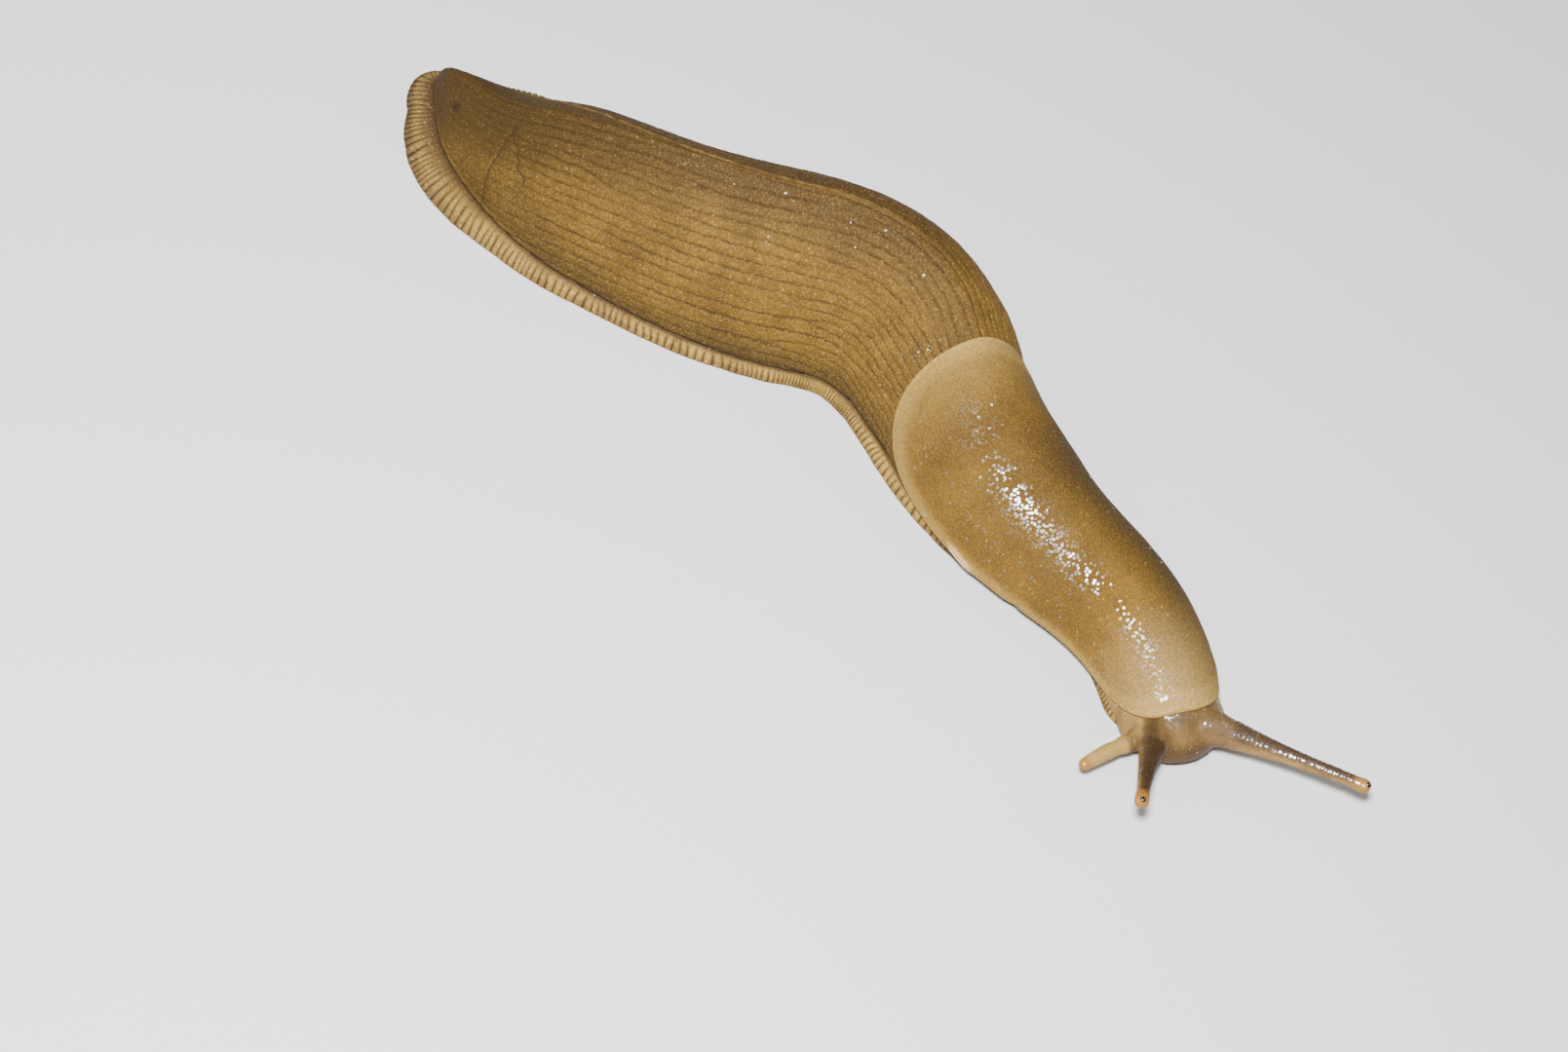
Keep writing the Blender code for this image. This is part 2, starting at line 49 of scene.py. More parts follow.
body = {
    "length": 146.8,
    "tailTip": (-78.96, -5.07),
    "tailHeading": -12.0,
    # middle, length and turn of each bend
    "bends": ((14, 28, 24), (46, 36, 24), (74, 40, -68), (103, 34, 37), (127, 30, -39)),
    # distance from the tail, half width, height, fringe beyond the body, keel
    "stations": (
        (4.0, 3.0, 9.8, 3.8, 0.5), (12.0, 6.9, 10.1, 4.8, 0.75), (25.0, 11.6, 16.6, 2.4, 0.85),
        (42.0, 12.9, 21.8, 1.3, 0.8), (58.0, 13.8, 23.0, 1.0, 0.65), (74.0, 12.4, 23.0, 0.9, 0.3),
        (90.0, 11.2, 19.2, 0.8, 0.1), (106.0, 11.0, 16.6, -2.0, 0.0), (118.0, 9.8, 13.6, -2.6, 0.0),
        (130.0, 8.6, 12.0, -2.0, 0.0), (138.0, 7.8, 10.6, -0.8, 0.0), (146.8, 7.0, 8.6, -0.8, 0.0)),
    "grooveHeight": 2.4,
    "start": 2.9,
    "tailRounding": 10.8,
    "snoutRounding": 6.5,
    "heightPower": 0.8,      # of the rounding that the height follows
}
halfWidth, fullHeight, fringe, keel = 1, 2, 3, 4

mantleSizes = {
    "middle": 115.2,
    "halfLength": 27.2,
    "turn": 15.0,            # that it sits round to the right side
    "girth": (100.0, 82.0),  # degrees from its middle line to its left and right edges
    "squareness": 3.0,
    "edgeLimit": 86.5,
    "edgeSoftness": 2.5,
    "reach": 20.0,
    "depthAtRim": 1.15,      # of the skin below the mantle's surface
    "depthInside": 1.65,
    "dipLength": 5.0,
    "depthSunk": 0.9,
    "overlap": (124.0, 127.0, 130.0),    # start of the head's skin, crossing, end of the back's
}


def smooth(t):
    t = np.clip(t, 0.0, 1.0)
    return t * t * (3.0 - 2.0 * t)


def heading(s):
    # Direction of the body at a distance from the tail: the sum of all bends up to there
    angle = np.full(np.shape(s), body["tailHeading"], float)
    for middle, length, turn in body["bends"]:
        angle = angle + turn * smooth((s - middle) / length + 0.5)
    return np.radians(angle)


course = np.linspace(0.0, body["length"], 1481)
courseStep = course[1]
courseX = body["tailTip"][0] + np.cumsum(np.cos(heading(course - courseStep / 2))) * courseStep
courseY = body["tailTip"][1] + np.cumsum(np.sin(heading(course - courseStep / 2))) * courseStep


def place(s, right, height):
    # Point at a distance along the body, to the right of its middle and above the floor
    turn = heading(s)
    x = np.interp(s, course, courseX) + right * np.sin(turn)
    y = np.interp(s, course, courseY) - right * np.cos(turn)
    return np.stack(np.broadcast_arrays(x, y, height), axis=-1)


def spline(t, knots, values):
    # Smooth curve through values at knots: cubic pieces that share their slopes
    knots, values = np.asarray(knots, float), np.asarray(values, float)
    slopes = np.gradient(values, knots)
    i = np.clip(np.searchsorted(knots, t) - 1, 0, len(knots) - 2)
    step = knots[i + 1] - knots[i]
    u = np.clip((t - knots[i]) / step, 0.0, 1.0)
    between = values[i] * (1 + 2 * u) * (1 - u) ** 2 + values[i + 1] * u * u * (3 - 2 * u)
    return between + step * u * (1 - u) * (slopes[i] * (1 - u) - slopes[i + 1] * u)


def station(s, column):
    table = np.array(body["stations"])
    return spline(s, table[:, 0], table[:, column])


def rounding(s, start, end, startLength, endLength):
    # 1 along the middle, falling to 0 as a quarter ellipse at both ends
    first = np.clip((s - start) / startLength, 0.0, 1.0)
    last = np.clip((end - s) / endLength, 0.0, 1.0)
    return np.sqrt(1 - (1 - first) ** 2) * np.sqrt(1 - (1 - last) ** 2)


def bodySize(s):
    ends = rounding(s, body["start"], body["length"], body["tailRounding"], body["snoutRounding"])
    height = (station(s, fullHeight) - body["grooveHeight"]) * ends ** body["heightPower"]
    return station(s, halfWidth) * ends, height


def skin(s, angle, lift=0.0):
    # Point of the outer surface at an angle from the top, positive to the right: an ellipse
    # whose top is drawn in to a keel by a power of the sine
    width, height = bodySize(s)
    across, up = np.sin(np.radians(angle)), np.cos(np.radians(angle))
    right = (width + lift) * np.sign(across) * np.abs(across) ** (1 + station(s, keel))
    return place(s, right, body["grooveHeight"] + (height + lift) * up)


def insideMantle(s, angle):
    # Distance inside the mantle's edge, a superellipse over distance and angle
    power = mantleSizes["squareness"]
    along = np.abs((s - mantleSizes["middle"]) / mantleSizes["halfLength"]) ** power
    girth = np.where(angle < mantleSizes["turn"], *mantleSizes["girth"])
    around = np.abs((angle - mantleSizes["turn"]) / girth) ** power
    return (1.0 - (along + around) ** (1.0 / power)) * mantleSizes["reach"]


def skinDepth(s, angle, sunkEnd=0.0):
    # How far the skin lies below the outer surface, beneath and beside the mantle, and deeper
    # by a share at an end that is hidden inside another skin
    inside = insideMantle(s, angle)
    dip = mantleSizes["depthAtRim"] * smooth(1.0 + inside / mantleSizes["dipLength"])
    dip = dip + (mantleSizes["depthInside"] - mantleSizes["depthAtRim"]) * smooth(inside / 2.0)
    return dip + sunkEnd * mantleSizes["depthSunk"]


# Noise, grids and meshes

def hashed(cells, seed):
    # Even random value of 0 to 1 for each whole-number cell
    mixed = (cells * np.array((73856093, 19349663, 83492791))).sum(-1) + seed * 265443576
    mixed = (mixed ^ (mixed >> 13)) * 127412617
    return ((mixed ^ (mixed >> 17)) & 0xffffff) / 0xffffff


def noise(points, size, seed):
    # Smooth noise of -1 to 1: random values at the corners of cubes of a size, blended between
    cells = np.floor(points / size)
    part = points / size - cells
    part = part * part * (3 - 2 * part)
    total = 0.0
    for corner in np.ndindex(2, 2, 2):
        weight = np.prod(np.where(np.array(corner) == 1, part, 1 - part), axis=-1)
        total = total + weight * hashed(cells.astype(np.int64) + np.array(corner), seed)
    return 2 * total - 1


def flat(a, b):
    # Two coordinates as points for the noise
    a, b = np.broadcast_arrays(a, b)
    return np.stack((a, b, np.zeros_like(a)), axis=-1)


def nearLine(a, b, start, end):
    # Distance of points (a, b) from a straight line between two such points
    start, way = np.array(start, float), np.array(end, float) - np.array(start, float)
    share = np.clip(((a - start[0]) * way[0] + (b - start[1]) * way[1]) / (way @ way), 0, 1)
    return np.hypot(a - start[0] - share * way[0], b - start[1] - share * way[1])


def evenly(path, distance, count):
    # Values of a path's parameter at even steps of the distance run along it
    return np.interp(np.linspace(distance[0], distance[-1], count), distance, path)


def gridNormals(points):
    # Unit normals of a grid whose rows run forwards and columns run to the right over the top
    normals = np.cross(np.gradient(points, axis=1), np.gradient(points, axis=0))
    return normals / np.maximum(np.linalg.norm(normals, axis=-1, keepdims=True), 1e-9)


def gridQuads(rows, columns, closed):
    # Faces of a grid of vertices, with its last column joined to the first where closed
    i = np.arange(rows - 1)[:, None] * columns
    j = np.arange(columns if closed else columns - 1)[None, :]
    k = (j + 1) % columns
    corners = np.broadcast_arrays(i + j, i + k, i + columns + k, i + columns + j)
    return np.stack(corners, axis=-1).reshape(-1, 4)


def makePiece(name, points, quads, triangles, look, masks):
    # Mesh object from points in millimetres, faces and named values at the points
    mesh = bpy.data.meshes.new(name)
    points = np.asarray(points).reshape(-1, 3) * millimetre
    loops = np.concatenate((np.ravel(quads), np.ravel(triangles))).astype(np.int32)
    starts = np.concatenate((np.arange(len(quads)) * 4, len(quads) * 4 + np.arange(len(triangles)) * 3))
    mesh.vertices.add(len(points))
    mesh.vertices.foreach_set("co", points.ravel().astype(np.float32))
    mesh.loops.add(len(loops))
    mesh.loops.foreach_set("vertex_index", loops)
    mesh.polygons.add(len(starts))
    mesh.polygons.foreach_set("loop_start", starts.astype(np.int32))
    mesh.update(calc_edges=True)
    mesh.validate()
    for mask, values in masks.items():
        layer = mesh.attributes.new(mask, "FLOAT", "POINT")
        layer.data.foreach_set("value", np.ravel(values).astype(np.float32))
    return finishPiece(name, mesh, look)


def finishPiece(name, mesh, look):
    mesh.materials.clear()
    mesh.materials.append(look)
    mesh.shade_smooth()
    piece = bpy.data.objects.new(name, mesh)
    bpy.context.scene.collection.objects.link(piece)
    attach(piece, "root")
    triangleCount = sum(len(face.vertices) - 2 for face in mesh.polygons)
    print(f"{name}: {triangleCount} triangles")
    return piece


def capTriangles(first, count, middle, forwards):
    # Fan of triangles that closes a ring of vertices round a middle one
    j = first + np.arange(count)
    k = first + (np.arange(count) + 1) % count
    fan = (np.full(count, middle), j, k) if forwards else (np.full(count, middle), k, j)
    return np.stack(fan, axis=-1)


# Materials

def linear(colour):
    # sRGB colour of 0 to 255 as the shader's linear colour
    part = np.array(colour) / 255
    return (*np.where(part <= 0.04045, part / 12.92, ((part + 0.055) / 1.055) ** 2.4), 1.0)


def setInputs(node, tree, inputs):
    # Links each input to a socket or sets its value; keys are names, or numbers after an n
    for key, value in inputs.items():
        socket = node.inputs[int(key[1:])] if key[1:].isdigit() else node.inputs[key.replace("_", " ")]
        if isinstance(value, bpy.types.NodeSocket):
            tree.links.new(value, socket)
        else:
            socket.default_value = value
    return node


def addNode(tree, kind, settings=None, **inputs):
    node = tree.nodes.new(kind)
    for key, value in (settings or {}).items():
        setattr(node, key, value)
    return setInputs(node, tree, inputs)


def addGroup(tree, group, **inputs):
    return addNode(tree, "ShaderNodeGroup", {"node_tree": group}, **inputs).outputs


def mathNode(tree, operation, a, b=0.0, c=0.0):
    return addNode(tree, "ShaderNodeMath", {"operation": operation}, n0=a, n1=b, n2=c).outputs[0]


def between(tree, value, low, high, to=(0.0, 1.0)):
    # Value turned smoothly from a range of low to high into another
    node = addNode(tree, "ShaderNodeMapRange", {"interpolation_type": "SMOOTHSTEP"},
                   Value=value, From_Min=low, From_Max=high, To_Min=to[0], To_Max=to[1])
    return node.outputs["Result"]


def blend(tree, mask, share, first, second):
    # Colour laid over another where a mask is 1, and only by a share of it
    if share != 1.0:
        mask = mathNode(tree, "MULTIPLY", mask, share)
    node = addNode(tree, "ShaderNodeMix", {"data_type": "RGBA"}, n0=mask, n6=first, n7=second)
    return node.outputs[2]


def attribute(tree, name):
    return addNode(tree, "ShaderNodeAttribute", {"attribute_name": name}).outputs["Fac"]


def newGroup(name, inputs, outputs):
    # Shader node group with float or vector inputs and float outputs
    tree = bpy.data.node_groups.new(name, "ShaderNodeTree")
    for socket, value in inputs.items():
        kind = "NodeSocketVector" if value is None else "NodeSocketFloat"
        made = tree.interface.new_socket(socket, in_out="INPUT", socket_type=kind)
        if value is not None:
            made.default_value = value
    for socket in outputs:
        tree.interface.new_socket(socket, in_out="OUTPUT", socket_type="NodeSocketFloat")
    return tree, tree.nodes.new("NodeGroupInput").outputs, tree.nodes.new("NodeGroupOutput").inputs


def makeGranuleGroup():
    # Rounded grains packed side by side: their height, bright tips, the net of lines between
    # them, and a random value for each
    tree, given, out = newGroup("Skin granules", {"Vector": None, "Scale": 4000.0, "Warp": 0.4},
                                ("Height", "Tip", "Net", "Pick"))
    wander = addNode(tree, "ShaderNodeTexNoise", Vector=given["Vector"], Detail=1.0,
                     Scale=mathNode(tree, "MULTIPLY", given["Scale"], 0.35))
    shift = addNode(tree, "ShaderNodeVectorMath", {"operation": "SCALE"}, n0=wander.outputs["Color"],
                    Scale=mathNode(tree, "DIVIDE", given["Warp"], given["Scale"]))
    moved = addNode(tree, "ShaderNodeVectorMath", {"operation": "ADD"},
                    n0=given["Vector"], n1=shift.outputs[0]).outputs[0]
    grains = addNode(tree, "ShaderNodeTexVoronoi", Vector=moved, Scale=given["Scale"])
    pick = addNode(tree, "ShaderNodeSeparateColor", Color=grains.outputs["Color"]).outputs["Red"]
    distance = grains.outputs["Distance"]
    tree.links.new(between(tree, distance, 0.0, 0.75, (1.0, 0.0)), out["Height"])
    tree.links.new(between(tree, distance, 0.15, 0.45, (1.0, 0.0)), out["Tip"])
    tree.links.new(between(tree, distance, 0.38, 0.68), out["Net"])
    tree.links.new(pick, out["Pick"])
    return tree


def makeBlotchGroup():
    # Soft cloudy variation, and sparse small specks
    tree, given, out = newGroup("Blotches and specks",
                                {"Vector": None, "Cloud Scale": 120.0, "Speck Scale": 900.0,
                                 "Speck Share": 0.12}, ("Cloud", "Speck"))
    cloud = addNode(tree, "ShaderNodeTexNoise", Vector=given["Vector"], Scale=given["Cloud Scale"],
                    Detail=4.0, Roughness=0.6)
    spots = addNode(tree, "ShaderNodeTexVoronoi", Vector=given["Vector"], Scale=given["Speck Scale"])
    pick = addNode(tree, "ShaderNodeSeparateColor", Color=spots.outputs["Color"]).outputs["Red"]
    chosen = mathNode(tree, "LESS_THAN", pick, given["Speck Share"])
    dot = between(tree, spots.outputs["Distance"], 0.12, 0.34, (1.0, 0.0))
    tree.links.new(between(tree, cloud.outputs["Fac"], 0.3, 0.7), out["Cloud"])
    tree.links.new(mathNode(tree, "MULTIPLY", chosen, dot), out["Speck"])
    return tree


def makeBeadGroup():
    # Sparse wet beads, each tilted its own way: a mask, and a height in metres that slopes
    # across the bead by a random vector times the distance from its middle
    tree, given, out = newGroup("Wet beads", {"Vector": None, "Scale": 1400.0, "Share": 0.3,
                                              "Tilt": 0.3, "Size": 0.3}, ("Height", "Mask"))
    cells = addNode(tree, "ShaderNodeTexVoronoi", Vector=given["Vector"], Scale=given["Scale"])
    pick = addNode(tree, "ShaderNodeSeparateColor", Color=cells.outputs["Color"]).outputs["Red"]
    mask = between(tree, mathNode(tree, "DIVIDE", cells.outputs["Distance"], given["Size"]),
                   0.75, 1.1, (1.0, 0.0))
    mask = mathNode(tree, "MULTIPLY", mask, mathNode(tree, "LESS_THAN", pick, given["Share"]))
    away = addNode(tree, "ShaderNodeVectorMath", {"operation": "SUBTRACT"}, n0=given["Vector"],
                   n1=cells.outputs["Position"]).outputs[0]
    spin = addNode(tree, "ShaderNodeTexWhiteNoise", Vector=cells.outputs["Position"]).outputs["Color"]
    lean = addNode(tree, "ShaderNodeVectorMath", {"operation": "SUBTRACT"}, n0=spin,
                   n1=(0.5, 0.5, 0.5)).outputs[0]
    slope = addNode(tree, "ShaderNodeVectorMath", {"operation": "DOT_PRODUCT"}, n0=away,
                    n1=lean).outputs["Value"]
    height = mathNode(tree, "MULTIPLY", mathNode(tree, "MULTIPLY", slope, given["Tilt"]), mask)
    tree.links.new(height, out["Height"])
    tree.links.new(mask, out["Mask"])
    return tree


granuleGroup = makeGranuleGroup()
blotchGroup = makeBlotchGroup()
beadGroup = makeBeadGroup()

wetSkin = {
    "Subsurface Weight": 0.0,
    "Specular IOR Level": 0.3,
    "Coat Roughness": 0.27,
    "Coat IOR": 1.9,
}


def newLook(name, values):
    # Material with its constants set on the shader, its node tree, its shader and its coordinates
    look = bpy.data.materials.new(name)
    look.use_nodes = True
    tree = look.node_tree
    shader = tree.nodes["Principled BSDF"]
    for socket, value in values.items():
        shader.inputs[socket].default_value = value
    return look, tree, shader, addNode(tree, "ShaderNodeTexCoord").outputs["Object"]


def makeSkinLook(name, k, lines=None):
    # Wet granular skin. Clouds of shade over the base take the broad masks, then the net and
    # tips of two sizes of grain, then the lines and fine masks. Wet beads lie over it all, smooth and coated.
    look, tree, shader, where = newLook(name, {**wetSkin, **k.get("constants", {})})
    fine = addGroup(tree, granuleGroup, Vector=where, Scale=k["fineScale"], Warp=0.5)
    coarse = addGroup(tree, granuleGroup, Vector=where, Scale=k["coarseScale"], Warp=0.8)
    spots = addGroup(tree, blotchGroup, Vector=where, Cloud_Scale=k["cloudScale"],
                     Speck_Scale=k["speckScale"], Speck_Share=k["speckShare"])
    colour = blend(tree, spots["Cloud"], 1.0, linear(k["shade"]), linear(k["base"]))
    for mask, (share, paint) in k["broad"].items():
        colour = blend(tree, attribute(tree, mask), share, colour, linear(paint))
    for grain, part, share, paint in ((coarse, "Net", k["coarseNet"], k["net"]),
                                      (fine, "Net", k["fineNet"], k["net"]),
                                      (coarse, "Tip", k["coarseTip"], k["granule"]),
                                      (fine, "Tip", k["fineTip"], k["granule"]),
                                      (spots, "Speck", k["speck"], k["granule"])):
        colour = blend(tree, grain[part], share, colour, linear(paint))
    if lines:
        colour = lines(tree, colour, coarse, fine, k)
    for mask, (share, paint) in k["over"].items():
        colour = blend(tree, attribute(tree, mask), share, colour, linear(paint))
    tree.links.new(colour, shader.inputs["Base Color"])
    share = mathNode(tree, "MULTIPLY", attribute(tree, "wet"), k["beadShare"])
    beads = addGroup(tree, beadGroup, Vector=where, Scale=k["beadScale"], Share=share,
                     Tilt=k["beadTilt"], Size=k["beadSize"])
    tree.links.new(between(tree, beads["Mask"], 0.0, 1.0, k["roughness"]), shader.inputs["Roughness"])
    tree.links.new(mathNode(tree, "MULTIPLY", beads["Mask"], k["coat"]), shader.inputs["Coat Weight"])
    # the grains' relief gives way where a bead covers them
    relief = mathNode(tree, "MULTIPLY_ADD", coarse["Height"], k["coarseRelief"], fine["Height"])
    bare = between(tree, beads["Mask"], 0.0, 1.0, (k["relief"] * millimetre, 0.0))
    relief = mathNode(tree, "MULTIPLY_ADD", relief, bare, beads["Height"])
    bump = addNode(tree, "ShaderNodeBump", Strength=1.0, Distance=1.0, Height=relief)
    tree.links.new(bump.outputs["Normal"], shader.inputs["Normal"])
    return look


def furrowLines(tree, colour, coarse, fine, k):
    # Dark jagged furrows: the cosine of the furrow's phase, shifted by the grains, near to 1
    shift = mathNode(tree, "MULTIPLY_ADD", coarse["Pick"], k["jag"], -0.5 * k["jag"])
    cosine = mathNode(tree, "MULTIPLY", attribute(tree, "furrowCosine"), mathNode(tree, "COSINE", shift))
    sine = mathNode(tree, "MULTIPLY", attribute(tree, "furrowSine"), mathNode(tree, "SINE", shift))
    near = between(tree, mathNode(tree, "SUBTRACT", cosine, sine), k["lineFrom"], 1.0)
    strength = mathNode(tree, "MULTIPLY", attribute(tree, "furrowStrength"),
                        between(tree, coarse["Pick"], 0.0, 1.0, (1.0, 0.45)))
    colour = blend(tree, mathNode(tree, "MULTIPLY", near, strength), k["line"], colour, linear(k["furrow"]))
    # thin creases, where the distance from their line is near to 0
    side = mathNode(tree, "MULTIPLY_ADD", coarse["Pick"], 0.16, attribute(tree, "creaseSide"))
    side = mathNode(tree, "ABSOLUTE", mathNode(tree, "SUBTRACT", side, 0.08))
    near = mathNode(tree, "MULTIPLY", between(tree, side, 0.04, 0.2, (1.0, 0.0)),
                    attribute(tree, "creaseNear"))
    return blend(tree, near, k["creaseShare"], colour, linear(k["furrow"]))


backColours = {
    "base": (110, 81, 20), "shade": (84, 60, 11),
    "net": (58, 40, 9), "granule": (198, 160, 84), "furrow": (38, 24, 6),
    "fineScale": 4600.0, "coarseScale": 2400.0, "cloudScale": 150.0,
    "speckScale": 1500.0, "speckShare": 0.1, "speck": 0.25,
    "coarseNet": 0.22, "fineNet": 0.26, "coarseTip": 0.1, "fineTip": 0.12,
    "line": 0.84, "lineFrom": 0.66, "jag": 0.8, "creaseShare": 0.7,
    # painted shade darkens the left flank beyond the keel
    "broad": {"upper": (0.9, (60, 40, 7)), "leftFlankShade": (0.8, (50, 31, 7)), "tail": (0.75, (54, 38, 8)),
              "olive": (0.85, (54, 40, 6))},
    # painted shade: the tail mask, here and among the broad masks, darkens the skin towards the tail end, where
    # less light falls
    "over": {"tail": (0.6, (50, 34, 3)), "keel": (0.35, (172, 136, 74)), "lip": (0.15, (160, 128, 74)),
             # painted shade along the skin's edge by the groove, with a small dark spot near the tail
             "dent": (0.5, (40, 26, 10)), "dark": (1.0, (26, 16, 8))},
    "beadScale": 2000.0, "beadShare": 0.015, "beadTilt": 0.6, "beadSize": 0.34,
    "roughness": (0.75, 0.18), "relief": 0.016, "coarseRelief": 1.3, "coat": 1.0,
    "constants": {"Specular IOR Level": 0.2},
}

mantleColours = {
    "base": (118, 86, 19), "shade": (87, 61, 8),
    "net": (59, 40, 7), "granule": (186, 147, 68),
    "fineScale": 4600.0, "coarseScale": 2600.0, "cloudScale": 110.0,
    "speckScale": 1500.0, "speckShare": 0.12, "speck": 0.3,
    "coarseNet": 0.14, "fineNet": 0.26, "coarseTip": 0.08, "fineTip": 0.14,
    # painted shade: the far mask darkens the mantle's left side
    # the blotch mask is partly the skin's own dark blotch and partly painted shade low on the right side
    "broad": {"blotchAndLowSideShade": (0.8, (60, 41, 8)), "far": (0.9, (50, 34, 2)),
              # painted sheen: the front mask lightens the mantle round the line of glints at its front
              "rim": (0.7, (176, 142, 70)), "front": (0.3, (180, 150, 100))},
    # painted shade: the inner mask darkens the rim's underside and the inner face
    "over": {"lip": (1.0, (208, 174, 126)), "slit": (1.0, (40, 22, 14)), "inner": (1.0, (66, 42, 24))},
    "beadScale": 2200.0, "beadShare": 1.0, "beadTilt": 0.6, "beadSize": 0.46,
    "roughness": (0.85, 0.2), "relief": 0.012, "coarseRelief": 1.2, "coat": 1.0,
    "constants": {"Specular IOR Level": 0.26},
}

fringeColours = {
    "base": (148, 119, 50), "shade": (102, 75, 26),
    "net": (96, 66, 32), "granule": (222, 188, 124),
    "fineScale": 4600.0, "coarseScale": 2600.0, "cloudScale": 260.0,
    "speckScale": 1700.0, "speckShare": 0.1, "speck": 0.4,
    "coarseNet": 0.18, "fineNet": 0.2, "coarseTip": 0.12, "fineTip": 0.16,
    # painted shade: the tail mask darkens the fringe towards the tail end, where less light falls
    "broad": {"tail": (1.0, (56, 42, 22)), "edge": (0.4, (176, 143, 62)), "shade": (0.8, (64, 42, 18))},
    # painted shade: the groove mask darkens the fringe's top, in the groove
    "over": {"line": (1.0, (40, 24, 8)), "groove": (0.85, (52, 34, 14))},
    "beadScale": 1600.0, "beadShare": 0.5, "beadTilt": 0.6, "beadSize": 0.24,
    "roughness": (0.7, 0.24), "relief": 0.012, "coarseRelief": 1.2, "coat": 0.6,
    "constants": {"Specular IOR Level": 0.18},
}

headColours = {
    "base": (150, 117, 58), "shade": (110, 82, 40),
    "net": (92, 64, 38), "granule": (206, 172, 120),
    "fineScale": 4800.0, "coarseScale": 2800.0, "cloudScale": 240.0,
    "speckScale": 1700.0, "speckShare": 0.1, "speck": 0.12,
    "coarseNet": 0.1, "fineNet": 0.14, "coarseTip": 0.05, "fineTip": 0.07,
    # painted shade: the snout mask darkens the low front of the head
    "broad": {"purple": (1.0, (42, 28, 14)), "pale": (0.7, (160, 129, 64)), "snout": (0.95, (58, 36, 4)),
              # painted shade: the red mask darkens one side of the right eye feeler
              "red": (1.0, (30, 10, 0)), "tip": (1.0, (150, 99, 12)), "streak": (1.0, (25, 13, 3)),
              # painted shade: the under mask darkens the head's skin towards and beneath the mantle's edge
              "under": (0.95, (36, 23, 9))},
    "over": {"mouth": (1.0, (60, 36, 28))},
    "beadScale": 3200.0, "beadShare": 1.0, "beadTilt": 0.34, "beadSize": 0.46,
    "roughness": (0.55, 0.24), "relief": 0.01, "coarseRelief": 1.2, "coat": 1.0,
    "constants": {"Subsurface Weight": 0.2, "Subsurface Radius": (1.0, 0.5, 0.25),
                  "Subsurface Scale": 0.0008, "Specular IOR Level": 0.22,
                  "Coat Roughness": 0.27, "Coat IOR": 2.6},
}


def makeEyeLook():
    look, tree, shader, where = newLook("Eye", {"Coat Weight": 1.0, "Coat Roughness": 0.04})
    spots = addGroup(tree, blotchGroup, Vector=where, Cloud_Scale=1800.0)
    colour = blend(tree, spots["Cloud"], 1.0, linear((14, 10, 9)), linear((40, 27, 20)))
    tree.links.new(colour, shader.inputs["Base Color"])
    tree.links.new(between(tree, spots["Cloud"], 0.0, 1.0, (0.12, 0.3)), shader.inputs["Roughness"])
    return look


backLook = makeSkinLook("Furrowed back", backColours, furrowLines)
mantleLook = makeSkinLook("Mantle", mantleColours)
fringeLook = makeSkinLook("Foot fringe", fringeColours)
headLook = makeSkinLook("Head and feelers", headColours)
eyeLook = makeEyeLook()
print("materials made")


# Skin of the back and tail, from groove to groove and on beneath the mantle

back = {
    "end": mantleSizes["overlap"][2],
    "rings": 322,
    "hiddenPace": 0.35,      # share of the rings' pace beneath the mantle
    "hiddenFrom": 98.0,
    "columns": 306,
    "referenceGirth": 26.0,  # half girth where the furrows have their full pitch
    "follow": 0.55,          # 0 keeps as many furrows at the tail, 1 keeps their pitch
    "furrowPitch": 1.4,
    "furrowDepth": 0.18,
    "furrowWidth": 0.14,
    "crown": 0.07,           # of the ridges between furrows
    "waver": 0.3,
    "forks": 40,
    "forkStretch": 3.5,
    "cellLength": 3.4,       # between the dents across a ridge
    "dentDepth": 0.1,
    "dentWidth": 0.3,
    "keelHeight": 0.18,
    "keelLine": ((10, -48), (18, -40), (40, -16), (60, -9), (76, 0)),   # distance and angle
    "scallopLength": 2.3,
    # distance, girth and reach of the sparkles
    "sparkles": ((16.4, 2.5, 0.6), (53.4, 8.4, 0.6), (62.4, 12.1, 0.6), (66.6, 12.0, 0.5),
                 (85.3, 9.1, 0.7), (84.6, 10.9, 0.6), (86.0, 7.2, 0.6)),
    "seed": 7,
}

# creases of the tail: distance and girth at both ends, depth and width
tailCreases = (
    ((19.6, 16.0), (18.6, 3.2), 0.16, 0.3),
    ((18.2, 3.0), (23.6, 10.6), 0.14, 0.28),
    ((19.0, -14.0), (18.2, -4.6), 0.14, 0.3),
    ((18.0, -4.4), (22.4, -10.0), 0.12, 0.28),
)


def furrowPhase(s, share, halfGirth, b):
    # Number of the furrow at each point: girth over pitch, wavering by noise, and with a whole
    # turn added round each fork, where one furrow becomes two
    across = share * b["referenceGirth"] * (halfGirth / b["referenceGirth"]) ** b["follow"]
    across = across + b["waver"] * noise(flat(s / 3.6, across), 2.4, 11)
    across = across + 0.4 * b["waver"] * noise(flat(s / 2.0, across), 0.9, 12)
    phase = across / b["furrowPitch"]
    draw = np.random.default_rng(b["seed"])
    for i in range(b["forks"]):
        forkS, forkAcross = draw.uniform(18, 92), draw.uniform(-22, 22)
        way, sign = draw.choice((-1, 1), 2)
        turn = np.arctan2(across - forkAcross, way * (s - forkS) / b["forkStretch"])
        phase = phase + sign * turn / (2 * np.pi)
    pitch = b["furrowPitch"] * (halfGirth / b["referenceGirth"]) ** (1 - b["follow"])
    return phase, pitch


